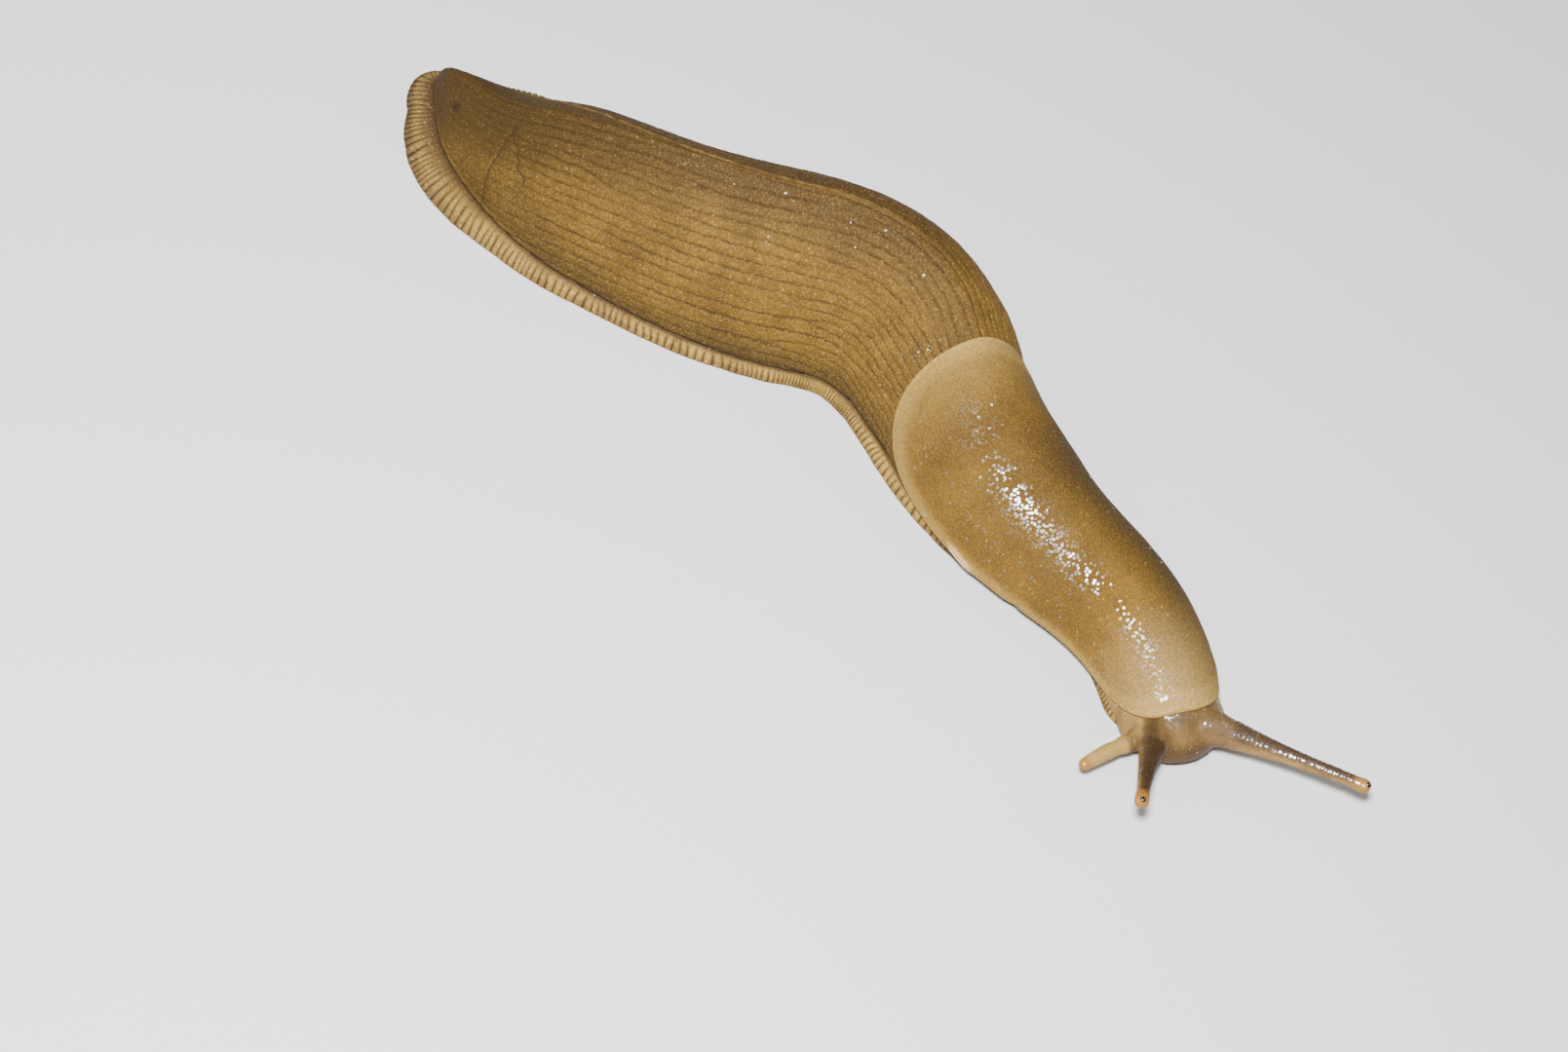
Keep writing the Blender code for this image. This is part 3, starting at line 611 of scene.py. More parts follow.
def makeBack(b):
    fine = np.linspace(body["start"] + 0.01, b["end"], 8001)
    width, height = bodySize(fine)
    run = np.cumsum(np.hypot(np.gradient(fine), np.hypot(np.gradient(width), np.gradient(height))))
    hidden = np.clip(run - np.interp(b["hiddenFrom"], fine, run), 0, None)
    ringS = evenly(fine, run - (1 - b["hiddenPace"]) * hidden, b["rings"])
    share = np.linspace(-1, 1, b["columns"])
    sweep = np.linspace(-90, 90, 721)
    angles, halfGirth = [], []
    for s in ringS:
        ring = skin(s, sweep)
        girth = np.concatenate(([0], np.cumsum(np.linalg.norm(np.diff(ring, axis=0), axis=1))))
        angles.append(np.interp((share + 1) / 2 * girth[-1], girth, sweep))
        halfGirth.append(girth[-1] / 2)
    angle, half = np.array(angles), np.array(halfGirth)[:, None]
    s = np.broadcast_to(ringS[:, None], angle.shape)
    girth = share[None, :] * half
    sunk = smooth((s - mantleSizes["overlap"][1]) / 3)
    points = skin(s, angle, -skinDepth(s, angle, sunk))
    normals = gridNormals(points)

    phase, pitch = furrowPhase(s, share[None, :], half, b)
    nearest = np.round(phase)
    offset = np.abs(phase - nearest)
    strength = np.clip(0.85 + 0.4 * noise(flat(s / 5.0, phase * 1.2), 1.0, 3), 0.3, 1.0)
    strength = strength * (0.45 * smooth((s - 6) / 6) + 0.55 * smooth((s - 14) / 14)) * smooth((half - 4) / 4)
    furrow = np.exp(-(offset * pitch / b["furrowWidth"]) ** 2) * strength
    crown = b["crown"] * (1 - (1 - 2 * offset) ** 4) * strength

    strip = np.floor(phase)
    strips = np.stack((strip, strip * 0, strip * 0), axis=-1).astype(np.int64)
    cell = s / b["cellLength"] + 7 * hashed(strips, 5) + 0.3 * noise(flat(s, phase), 1.3, 6)
    cells = np.stack((strip, np.round(cell), strip * 0), axis=-1).astype(np.int64)
    dent = np.exp(-((cell - np.round(cell)) * b["cellLength"] / b["dentWidth"]) ** 2)
    dent = dent * (hashed(cells, 8) < 0.55) * strength * smooth(offset * 6)

    # the keel's pale line lies to the left of the top
    keelAngle = np.interp(ringS, *np.array(b["keelLine"]).T)
    keelGirth = np.array([np.interp(a, row, g) for a, row, g in zip(keelAngle, angle, girth)])[:, None]
    ridge = np.exp(-((girth - keelGirth) / 0.4) ** 2) * smooth((s - 10) / 10) * (1 - smooth((s - 60) / 16))
    ridge = ridge * (0.75 + 0.25 * np.sin(2 * np.pi * s / b["scallopLength"] + noise(flat(s, s), 5, 4)))
    # distance from the nearest crease, positive on one side of it, so that its line stays thin
    crease, creaseSide = np.zeros_like(angle), np.full(angle.shape, 1.5)
    bow = 0.7 * noise(flat(s, girth), 5.0, 22)
    wandered = girth + bow + 0.4 * noise(flat(s, girth), 1.3, 21)
    for start, end, depth, creaseWidth in tailCreases:
        away = nearLine(s + bow, wandered, start, end)
        side = (s + bow - start[0]) * (end[1] - start[1]) - (wandered - start[1]) * (end[0] - start[0])
        creaseSide = np.where(away < np.abs(creaseSide), away * np.sign(side), creaseSide)
        crease = np.maximum(crease, depth * np.exp(-(away / creaseWidth) ** 2))

    roll = 0.13 * noise(points, 13, 31) + 0.07 * noise(points, 5.5, 32)
    grain = 0.035 * noise(points, 1.1, 33) + 0.02 * noise(points, 0.55, 34)
    ends = smooth((s - body["start"]) / 5) * smooth((half - np.abs(girth)) / 2.5)
    lift = roll * ends + grain - b["furrowDepth"] * furrow + crown - b["dentDepth"] * dent
    lift = lift + b["keelHeight"] * ridge - crease
    points = points + normals * lift[..., None]

    # two more columns close the skin below, out of sight
    width = bodySize(ringS)[0]
    under = [place(ringS, share * width, np.full_like(ringS, 2.0)) for share in (0.86, -0.86)]
    points = np.concatenate((points, np.stack(under, axis=1)), axis=1)
    columns = b["columns"] + 2
    quads = gridQuads(b["rings"], columns, True)
    middles = points[[0, -1]].mean(axis=1)
    count = b["rings"] * columns
    triangles = np.concatenate((capTriangles(0, columns, count, False),
                                capTriangles(count - columns, columns, count + 1, True)))

    def spread(values):
        # Values for the grid, the closing columns and the two middles
        values = np.broadcast_to(values, angle.shape)
        return np.append(np.concatenate((values, values[:, [-1, 0]]), axis=1), (0, 0))

    # sparse wet beads, and one or two where each sparkle is
    wet = smooth(1.2 - np.abs(angle - 38) / 50)
    for sparkleS, sparkleGirth, reach in b["sparkles"]:
        near = np.exp(-((s - sparkleS) ** 2 + (girth - sparkleGirth) ** 2) / reach ** 2)
        wet = np.maximum(wet, 68 * near)
    edge = half - np.abs(girth)
    spot = np.exp(-((s - 10.1) ** 2 + (girth - 4.4) ** 2) / 0.3)
    masks = {
        "furrowCosine": spread(np.cos(2 * np.pi * phase)),
        "furrowSine": spread(np.sin(2 * np.pi * phase)),
        "furrowStrength": spread(strength),
        "creaseSide": spread(creaseSide),
        "creaseNear": spread(smooth(1.4 - np.abs(creaseSide) / 0.8)),
        "dent": spread(np.clip(0.5 * dent, 0, 1)),
        "keel": spread(np.clip(ridge * (0.8 + 0.4 * noise(flat(s, girth), 1.2, 41)), 0, 1)),
        "upper": spread(smooth(1 - np.abs(girth - 1.5) / 7.5) * (1 - 0.7 * smooth((s - 70) / 20))),
        "olive": spread(smooth(1 - edge / 5.5) * smooth((s - 12) / 20)),
        # painted shade on the left flank beyond the keel line, fading forwards
        "leftFlankShade": spread(smooth((keelGirth - girth) / 1.2) * (1 - smooth((s - 62) / 26))),
        # painted shade, darker towards the tail end where less light falls, and less so on the right
        "tail": spread((1 - smooth((s - 10) / 38)) * (1 - 0.5 * smooth((girth - 5) / 6))),
        "wet": spread(wet),
        "lip": spread(np.exp(-((edge - 0.55) / 0.4) ** 2) * (1 - smooth((s - 26) / 10))),
        # a small dark spot near the tail, and painted shade along the edge by the groove
        "dark": spread(np.clip(spot * 0.8 + smooth(1 - edge / 0.6) * 0.8, 0, 1)),
    }
    points = np.concatenate((points.reshape(-1, 3), middles))
    piece = makePiece("backSkin", points, quads, triangles, backLook, masks)
    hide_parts("tail", "back_rear", "back_front", "torso")


makeBack(back)


# Mantle, a rounded shield with a rolled rim and a breathing hole

mantle = {
    "spokes": 520,
    "outerRings": 150,
    "rimRings": 10,
    "innerRings": 16,
    "ringPower": 1.5,        # crowds the rings towards the rim
    "rimDrop": 0.3,
    "rimWidth": 1.2,
    "rimBulge": 0.3,
    "gap": 0.2,              # to the skin beneath
    "hole": (107.1, 83.0),   # station and angle of the breathing hole
    "holeHalfLength": 2.1,
    "holeHalfWidth": 0.5,
    "lipHeight": 0.36,
    "slitDepth": 0.35,
    "slitWidth": 0.12,
    "holeSlant": 12.0,       # degrees that the slit turns down towards the head
    # distance, angle and share of the wet clusters
    "wetLine": ((90, 30, 0.0), (94, 30, 0.3), (97.5, 31, 1.0), (101, 32, 0.45), (105, 32, 0.9),
                (110, 33, 1.0), (115, 34, 0.9), (119, 34, 0.5), (121.5, 34, 0.5), (124, 35, 0.0),
                (128, 35, 0.2), (131, 33, 0.6), (134, 30, 0.9), (140, 20, 1.0), (143, 18, 0.6)),
    "clusters": ((98.5, 30, 2.8), (109.5, 33, 3.4), (113.5, 34, 2.6), (135.5, 30, 2.2), (138.5, 24, 2.6)),
    "wetSpread": 19.0,
    "wetLeast": 0.012,
}


def mantleSheet(r, turn, lift):
    # Points on the shield: r of 0 at its middle and 1 at its rim, turn round it, lift outwards
    power = mantleSizes["squareness"]
    c, s = np.cos(turn), np.sin(turn)
    edge = (np.abs(c) ** power + np.abs(s) ** power) ** (-1 / power)
    limit, sideways = mantleSizes["edgeLimit"], mantleSizes["turn"]
    around = sideways + np.where(s < 0, *mantleSizes["girth"]) * edge * s
    # the rim bends softly into the line above the groove
    soft = mantleSizes["edgeSoftness"]
    over = soft * np.log1p(np.exp(np.clip((np.abs(around) - limit) / soft, -30, 30)))
    around = np.sign(around) * (np.abs(around) - over) - sideways
    distance = mantleSizes["middle"] + r * mantleSizes["halfLength"] * edge * c
    angle = sideways + r * around
    return distance, angle, skin(distance, angle, lift(distance, angle))


def makeMantle(m):
    turn = np.linspace(0, 2 * np.pi, m["spokes"], endpoint=False)[None, :]
    t = np.arange(1, m["outerRings"] + 1)[:, None] / m["outerRings"]
    r = 1 - (1 - t) ** m["ringPower"]
    inside = (1 - r) * mantleSizes["reach"]
    outer = mantleSheet(r, turn, lambda s, a: m["rimDrop"] * (smooth(inside / m["rimWidth"]) - 1))
    s, angle, points = outer
    # rows run outwards and columns round, so the normal is turned to point out of the body
    closed = np.concatenate((points[:, -1:], points, points[:, :1]), axis=1)
    normals = gridNormals(closed)[:, 1:-1]

    hole = skin(*m["hole"])
    out = skin(*m["hole"], 1.0) - hole
    along = skin(m["hole"][0] + 0.5, m["hole"][1]) - skin(m["hole"][0] - 0.5, m["hole"][1])
    along = along / np.linalg.norm(along)
    down = np.cross(along, out / np.linalg.norm(out))
    slant = math.radians(m["holeSlant"])
    along, down = (along * math.cos(slant) + down * math.sin(slant),
                   down * math.cos(slant) - along * math.sin(slant))
    away = points - hole
    a, d = away @ along, away @ down
    near = np.linalg.norm(away, axis=-1) < 6
    ring = np.hypot(a / m["holeHalfLength"], d / m["holeHalfWidth"])
    lip = np.exp(-np.clip(ring - 0.75, 0, None) ** 2 / 0.35) * near
    slit = np.exp(-(d / m["slitWidth"]) ** 2) * smooth((m["holeHalfLength"] - np.abs(a)) / 0.5) * near

    fold = nearLine(s, angle / 4, (111.6, 19.5), (115.6, 22.6))
    fold = np.exp(-(fold / 0.55) ** 2)
    fade = smooth(inside / 1.5)
    roll = (0.2 * noise(points, 11, 51) + 0.09 * noise(points, 4.5, 52)) * fade
    grain = 0.03 * noise(points, 1.3, 53) + 0.014 * noise(points, 0.6, 54)
    lift = roll + grain * fade + m["lipHeight"] * lip - m["slitDepth"] * slit - 0.22 * fold
    direction = np.sign(((points - place(s, 0 * s, 4.0 + 0 * s)) * normals).sum(-1, keepdims=True))
    points = points + normals * direction * lift[..., None]

    # the rim rolls round to the inner face as half an ellipse
    inner = lambda s, a: m["gap"] - skinDepth(s, a)
    rimS, rimAngle, rimOuter = s[-1:], angle[-1:], points[-1:]
    half = np.pi * (np.arange(1, m["rimRings"] + 1)[:, None] / (m["rimRings"] + 1))
    bottom = skin(rimS, rimAngle, inner(rimS, rimAngle))
    outward = points[-1:] - points[-4:-3]
    outward = outward / np.linalg.norm(outward, axis=-1, keepdims=True)
    middle, radius = (rimOuter + bottom) / 2, (rimOuter - bottom) / 2
    rim = middle + radius * np.cos(half)[..., None] + outward * (m["rimBulge"] * np.sin(half))[..., None]
    t = np.linspace(1, 0, m["innerRings"] + 1)[:-1, None]
    innerS, innerAngle, innerPoints = mantleSheet(1 - (1 - t) ** 1.2, turn, inner)

    rows = np.concatenate((points, rim, innerPoints))
    quads = gridQuads(len(rows), m["spokes"], True)
    count = len(rows) * m["spokes"]
    top = mantleSheet(np.zeros(1), np.zeros(1), lambda s, a: 0 * s)[2]
    low = mantleSheet(np.zeros(1), np.zeros(1), inner)[2]
    triangles = np.concatenate((capTriangles(0, m["spokes"], count, True),
                                capTriangles(count - m["spokes"], m["spokes"], count + 1, False)))
    allPoints = np.concatenate((rows.reshape(-1, 3), top, low))

    def spread(values, beyond):
        rest = np.full((len(rim) + len(innerPoints), m["spokes"]), float(beyond))
        return np.append(np.concatenate((np.broadcast_to(values, s.shape), rest)), (0, beyond))

    # a dark blotch of the skin itself in the middle, and painted shade low on the right side (the last term)
    blotchAndLowSideShade = np.exp(-((s - 106) / 10) ** 2 - ((angle - 18) / 34) ** 2)
    blotchAndLowSideShade = blotchAndLowSideShade * (0.8 + 0.6 * noise(points, 6, 55)) + 0.3 * smooth((angle - 40) / 25) * smooth(inside / 4)
    blotchAndLowSideShade = np.clip(blotchAndLowSideShade, 0, 1)
    # wet clusters along the line that faces up and to the right
    lineAngle = np.interp(s, *np.array(m["wetLine"])[:, :2].T)
    wet = np.interp(s, *np.array(m["wetLine"])[:, ::2].T) * np.exp(-((angle - lineAngle) / m["wetSpread"]) ** 2)
    wet = wet * smooth((noise(points, 2.6, 56) + 0.5) / 0.7) * 1.3
    for clusterS, clusterAngle, reach in m["clusters"]:
        wet = np.maximum(wet, np.exp(-((s - clusterS) ** 2 + ((angle - clusterAngle) / 4) ** 2) / reach ** 2))
    wet = np.clip(wet + m["wetLeast"], 0, 1)
    # painted shade on the underside of the rolled rim and on the inner face
    under = np.concatenate((np.zeros((m["outerRings"], m["spokes"])),
                            np.broadcast_to(smooth(half / np.pi * 2 - 0.8), rim.shape[:2]),
                            np.ones(innerPoints.shape[:2])))
    masks = {
        "blotchAndLowSideShade": spread(blotchAndLowSideShade, 0),
        # painted shade, darker on the mantle's left side
        "far": spread(smooth((25 - angle) / 50) * (1 - 0.5 * smooth((108 - s) / 10)), 0),
        "rim": spread(np.maximum(np.maximum(smooth(1 - inside / 3.5), smooth((s - 126) / 16) * 0.5),
                                 smooth((100 - s) / 12) * 0.4), 1),
        # painted sheen, paler round the glints at the mantle's front
        "front": spread(smooth((s - 126) / 14) * np.exp(-((angle - 25) / 40) ** 2), 0),
        "wet": spread(wet, 0),
        "lip": spread(np.exp(-np.clip(ring - 0.8, 0, None) ** 2 / 0.12) * near * 0.8, 0),
        "slit": spread(np.clip(slit, 0, 1) * 0.7, 0),
        "inner": np.append(under, (0, 1)),
    }
    piece = makePiece("mantleShield", allPoints, quads, triangles, mantleLook, masks)
    outwards(piece)
    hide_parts("mantle")


def outwards(piece):
    # Turns every face of a closed mesh to point out
    shape = bmesh.new()
    shape.from_mesh(piece.data)
    bmesh.ops.remove_doubles(shape, verts=shape.verts, dist=1e-7)
    bmesh.ops.recalc_face_normals(shape, faces=shape.faces)
    shape.to_mesh(piece.data)
    shape.free()


makeMantle(mantle)


# Foot: a flat sole and the ribbed fringe round it

foot = {
    "end": 142.85,
    "tailRounding": 10.4,
    "frontRounding": 7.0,
    "tailReach": 18.0,       # over this length the ribs fan out round the tail
    "stepsPerRib": 6,
    "ribPitch": 0.85,
    "ribDepth": 0.17,
    "ribSlant": 0.35,        # of a pitch, from the edge to the groove
    "soleInset": 0.25,
    # share from the groove to the edge, and height, from the sole up to the groove
    "section": ((1.0, 0.0), (1.0, 0.22), (1.0, 0.5), (0.97, 0.78), (0.9, 1.02), (0.8, 1.22),
                (0.68, 1.4), (0.54, 1.56), (0.4, 1.7), (0.26, 1.82), (0.14, 1.93), (0.05, 2.05),
                (0.0, 2.2)),
}


def makeFoot(f):
    fine = np.linspace(0.0, f["end"], 12001)
    ends = rounding(fine, 0.0, f["end"], f["tailRounding"], f["frontRounding"])
    edge = (station(fine, halfWidth) + station(fine, fringe)) * ends
    run = np.cumsum(np.hypot(np.gradient(fine), np.gradient(edge)))
    rings = int(run[-1] / f["ribPitch"] * f["stepsPerRib"])
    outerS = evenly(fine, run, rings)
    ran = np.linspace(run[0], run[-1], rings)
    edge = np.interp(outerS, fine, edge)
    # near the tail the groove's points lie ahead of the edge's, so that ribs fan out
    lead = body["start"] * np.clip(1 - outerS / f["tailReach"], 0, 1)
    innerS = outerS + lead
    groove = bodySize(innerS)[0] - skinDepth(innerS, 90.0)
    groove = np.clip(groove, 0.0, np.maximum(edge - 0.6, 0.0)) * np.clip(outerS / 0.5, 0, 1)
    shareOut, height = np.array(f["section"]).T
    shareOut, height = shareOut[None, :], height[None, :]
    up = np.linspace(0, 1, len(f["section"]))[None, :]
    sides, ribMasks = [], []
    for side in (1, -1):
        phase = ran / f["ribPitch"] + 0.9 * noise(flat(ran, ran * 0 + side * 9), 4.0, 61)
        phase = phase[:, None] + f["ribSlant"] * (1 - shareOut)
        phase = phase + 0.22 * noise(flat(ran[:, None], shareOut * 2 + side * 5), 1.4, 62)
        rib = 1 - np.abs(2 * (phase - np.floor(phase)) - 1)      # 0 in a line, 1 on a rib
        line = np.exp(-(rib / 0.3) ** 2)
        deep = smooth(height / 0.4) * (1 - 0.75 * smooth((height - 1.5) / 0.5))
        wave = 0.16 * noise(flat(ran, ran * 0 + side * 7), 5.0, 63)
        wave = wave + 0.08 * noise(flat(ran, ran * 0 + side * 7), 1.9, 64)
        out = edge[:, None] + wave[:, None] * np.minimum(edge, 2)[:, None] / 2
        out = out - f["soleInset"] * (height < 0.05)
        inset = f["ribDepth"] * deep * (line - 0.3 * rib) * np.clip(edge / 3, 0, 1)[:, None]
        s = outerS[:, None] * shareOut + innerS[:, None] * (1 - shareOut)
        right = groove[:, None] + (out - groove[:, None]) * shareOut - inset * 0.8
        top = height - inset * 0.7 * (height > 0.05) + 0.1 * wave[:, None] * shareOut * (height > 0.3)
        sides.append(place(s, side * np.maximum(right, 0), np.maximum(top, 0.0)))
        ribMasks.append(line * deep)
    points = np.concatenate((sides[0], sides[1][:, ::-1]), axis=1)
    columns = points.shape[1]
    quads = gridQuads(rings, columns, True)

    def spread(values):
        values = np.broadcast_to(values, (rings, columns // 2))
        return np.append(np.concatenate((values, values[:, ::-1]), axis=1), (0, 0))

    count = rings * columns
    triangles = np.concatenate((capTriangles(0, columns, count, False),
                                capTriangles(count - columns, columns, count + 1, True)))
    masks = {
        "line": np.append(np.concatenate((ribMasks[0], ribMasks[1][:, ::-1]), axis=1), (0, 0)),
        "edge": spread(np.exp(-((height - 1.45) / 0.22) ** 2)),
        # painted shade, darker towards the tail end where less light falls
        "tail": spread(1 - smooth((outerS[:, None] - 3) / 24)),
        # painted shade at the top of the fringe, in the groove
        "groove": spread(smooth((height - 1.75) / 0.35)),
        "shade": spread(smooth((outerS[:, None] - 100) / 6) * (1 - smooth((outerS[:, None] - 130) / 5))),
        "wet": spread(0.3),
    }
    points = np.concatenate((points.reshape(-1, 3), points[[0, -1]].mean(axis=1)))
    piece = makePiece("footFringe", points, quads, triangles, fringeLook, masks)
    outwards(piece)
    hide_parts("foot_tail", "foot_rear", "foot_middle", "foot_fore", "foot_front")


makeFoot(foot)


# Head with its four feelers, as one skin that runs on beneath the mantle

head = {
    "start": mantleSizes["overlap"][0],
    "snoutStep": 143.1,
    "snoutGap": 1.4,
    "voxel": 0.16,
    "evenSteps": 4,          # of light smoothing all over
    "filletSteps": 70,       # of smoothing round each feeler's root
    "filletReach": 3.2,
    "rootSunk": 2.4,
    "rootLength": 1.9,
    "rootSpread": 1.3,
    "knobRadius": 0.92,
    "knobLength": 2.7,
    "eyeRadius": 0.44,
    "eyeDepth": 0.32,
    "eyeSeat": 0.66,
    "eyeTilt": 50.0,
    "ringPitch": 0.62,       # of the fine rings round a feeler
    "wetPatches": ((142.6, 24.0, 1.5), (143.0, -2.0, 1.0)),
    "upperLip": (145.4, 0.0, 3.15, (1.2, 2.1, 0.75)),
    "lobes": ((144.8, 2.0, 2.15, (1.4, 1.2, 0.95)), (144.8, -2.0, 2.15, (1.4, 1.2, 0.95))),
}

# station and angle of each root, heading from the head's own, rise, length and radii
feelers = {
    "leftOptic": {"station": 144.4, "angle": -52, "heading": 55, "rise": 7, "sway": -6, "curl": 5,
                  "length": 15.2, "root": 1.9, "middle": 1.2, "neck": 0.85},
    "rightOptic": {"station": 144.5, "angle": 56, "heading": -36, "rise": 20, "sway": 2, "curl": 6,
                   "length": 9.8, "root": 1.75, "middle": 1.15, "neck": 0.8},
    "leftFeeler": {"station": 143.6, "angle": -78, "heading": 60, "rise": -6, "sway": -6, "curl": -2,
                   "length": 4.6, "root": 1.15, "middle": 1.0, "neck": 0.8},
    "rightFeeler": {"station": 143.5, "angle": 76, "heading": -76, "rise": 2, "sway": 8, "curl": -4,
                    "length": 6.4, "root": 1.2, "middle": 1.05, "neck": 0.8},
}


def direction(turn, rise):
    turn, rise = np.radians(turn), np.radians(rise)
    return np.stack((np.cos(turn) * np.cos(rise), np.sin(turn) * np.cos(rise), np.sin(rise)), axis=-1)


def feelerLine(feeler, optic):
    # Centres, ways and radii along a feeler: sunk root, swelling, tapering stalk and rounded end
    point = skin(feeler["station"], feeler["angle"], 0.0)
    turn = math.degrees(heading(body["length"])) + feeler["heading"]
    tip = head["knobLength"] + 0.3 if optic else feeler["neck"]
    total = feeler["length"] + tip
    u = np.linspace(0, total, 90)
    t = np.clip(u / feeler["length"], 0, 1)
    ways = direction(turn + feeler["sway"] * t, feeler["rise"] + feeler["curl"] * t)
    step = u[1]
    outer = point + ways[0] * head["rootLength"] + np.cumsum(ways, axis=0) * step
    radius = spline(t, (0.0, 0.12, 0.4, 1.0),
                    (feeler["root"], feeler["root"] * 0.86, feeler["middle"], feeler["neck"]))
    endRadius = feeler["neck"]
    if optic:
        endRadius = head["knobRadius"]
        radius = radius + (endRadius - feeler["neck"]) * smooth((u - feeler["length"] + 0.4) / 1.8)
    last = np.clip((total - u) / endRadius, 0, 1)
    radius = radius * np.sqrt(1 - (1 - last) ** 2) + 1e-3
    sunk = np.linspace(-head["rootSunk"], head["rootLength"], 16)[:, None]
    spread = feeler["root"] * (1 + (head["rootSpread"] - 1) * smooth(1 - (sunk[:, 0] + 1) / 2.9))
    centres = np.concatenate((point + ways[0] * sunk, outer))
    allWays = np.concatenate((np.repeat(ways[:1], 16, axis=0), ways))
    return centres, allWays, np.concatenate((spread, radius))


def tubeRings(centres, ways, radii, sides):
    # Rings of points round a path, square to its ways
    level = np.cross((0, 0, 1), ways)
    level /= np.linalg.norm(level, axis=1, keepdims=True)
    upright = np.cross(ways, level)
    t = np.linspace(0, 2 * np.pi, sides, endpoint=False)[None, :, None]
    return centres[:, None] + radii[:, None, None] * (np.cos(t) * level[:, None] + np.sin(t) * upright[:, None])


def closedLoft(rings):
    # Points and faces of rings joined one to the next, with fans over both ends
    count, sides = rings.shape[:2]
    total = count * sides
    points = np.concatenate((rings.reshape(-1, 3), rings[[0, -1]].mean(axis=1)))
    quads = gridQuads(count, sides, True).tolist()
    caps = np.concatenate((capTriangles(0, sides, total, False),
                           capTriangles(total - sides, sides, total + 1, True))).tolist()
    return points, quads + caps


def ballLoft(centre, ahead, sizes):
    # Ellipsoid with its first size along a level way
    t = np.radians(np.linspace(-86, 86, 20))
    rings = tubeRings(np.zeros((20, 3)) + np.sin(t)[:, None] * (1, 0, 0), np.tile((1.0, 0, 0), (20, 1)),
                      np.cos(t), 24)
    side = np.cross((0, 0, 1), ahead)
    return centre + rings @ (np.diag(sizes) @ np.array((ahead, side, (0, 0, 1))))


def headRings(h):
    fine = np.linspace(h["start"], body["length"] - 0.02, 4001)
    width, height = bodySize(fine)
    run = np.cumsum(np.hypot(np.gradient(fine), np.hypot(np.gradient(width), np.gradient(height))))
    s = evenly(fine, run, 120)[:, None]
    angle = np.linspace(-90, 90, 121)[None, :]
    top = skin(s, angle, -skinDepth(s, angle, smooth((mantleSizes["overlap"][1] - s) / 3)))
    low = body["grooveHeight"] - 0.35 - (body["grooveHeight"] - h["snoutGap"]) * smooth(
        (s - h["snoutStep"] + 1.2) / 1.2) * np.minimum(1, (body["length"] - s) / 2) ** 0.5
    low = np.maximum(low, h["snoutGap"])
    right = np.linspace(1, -1, 20)[None, :] * (0.9 - 0.15 * smooth((s - h["snoutStep"]) / 2)) * bodySize(s)[0]
    return np.concatenate((top, place(s, right, low + 0 * right)), axis=1)


def relax(points, edges, weight, steps):
    # Moves each point towards the mean of its neighbours, by its own weight
    first, second = np.concatenate((edges, edges[:, ::-1])).T
    count = np.bincount(first, minlength=len(points))[:, None]
    for _ in range(steps):
        mean = np.stack([np.bincount(first, points[second, axis], len(points)) for axis in range(3)],
                        axis=1) / count
        points = points + weight[:, None] * (mean - points)
    return points


def alongLine(points, centres):
    # Distance of each point from a path, and the place on the path that is nearest
    nearest, best = np.zeros(len(points), int), np.full(len(points), 1e9)
    for i, centre in enumerate(centres):
        distance = np.linalg.norm(points - centre, axis=1)
        closer = distance < best
        nearest[closer], best[closer] = i, distance[closer]
    return best, nearest


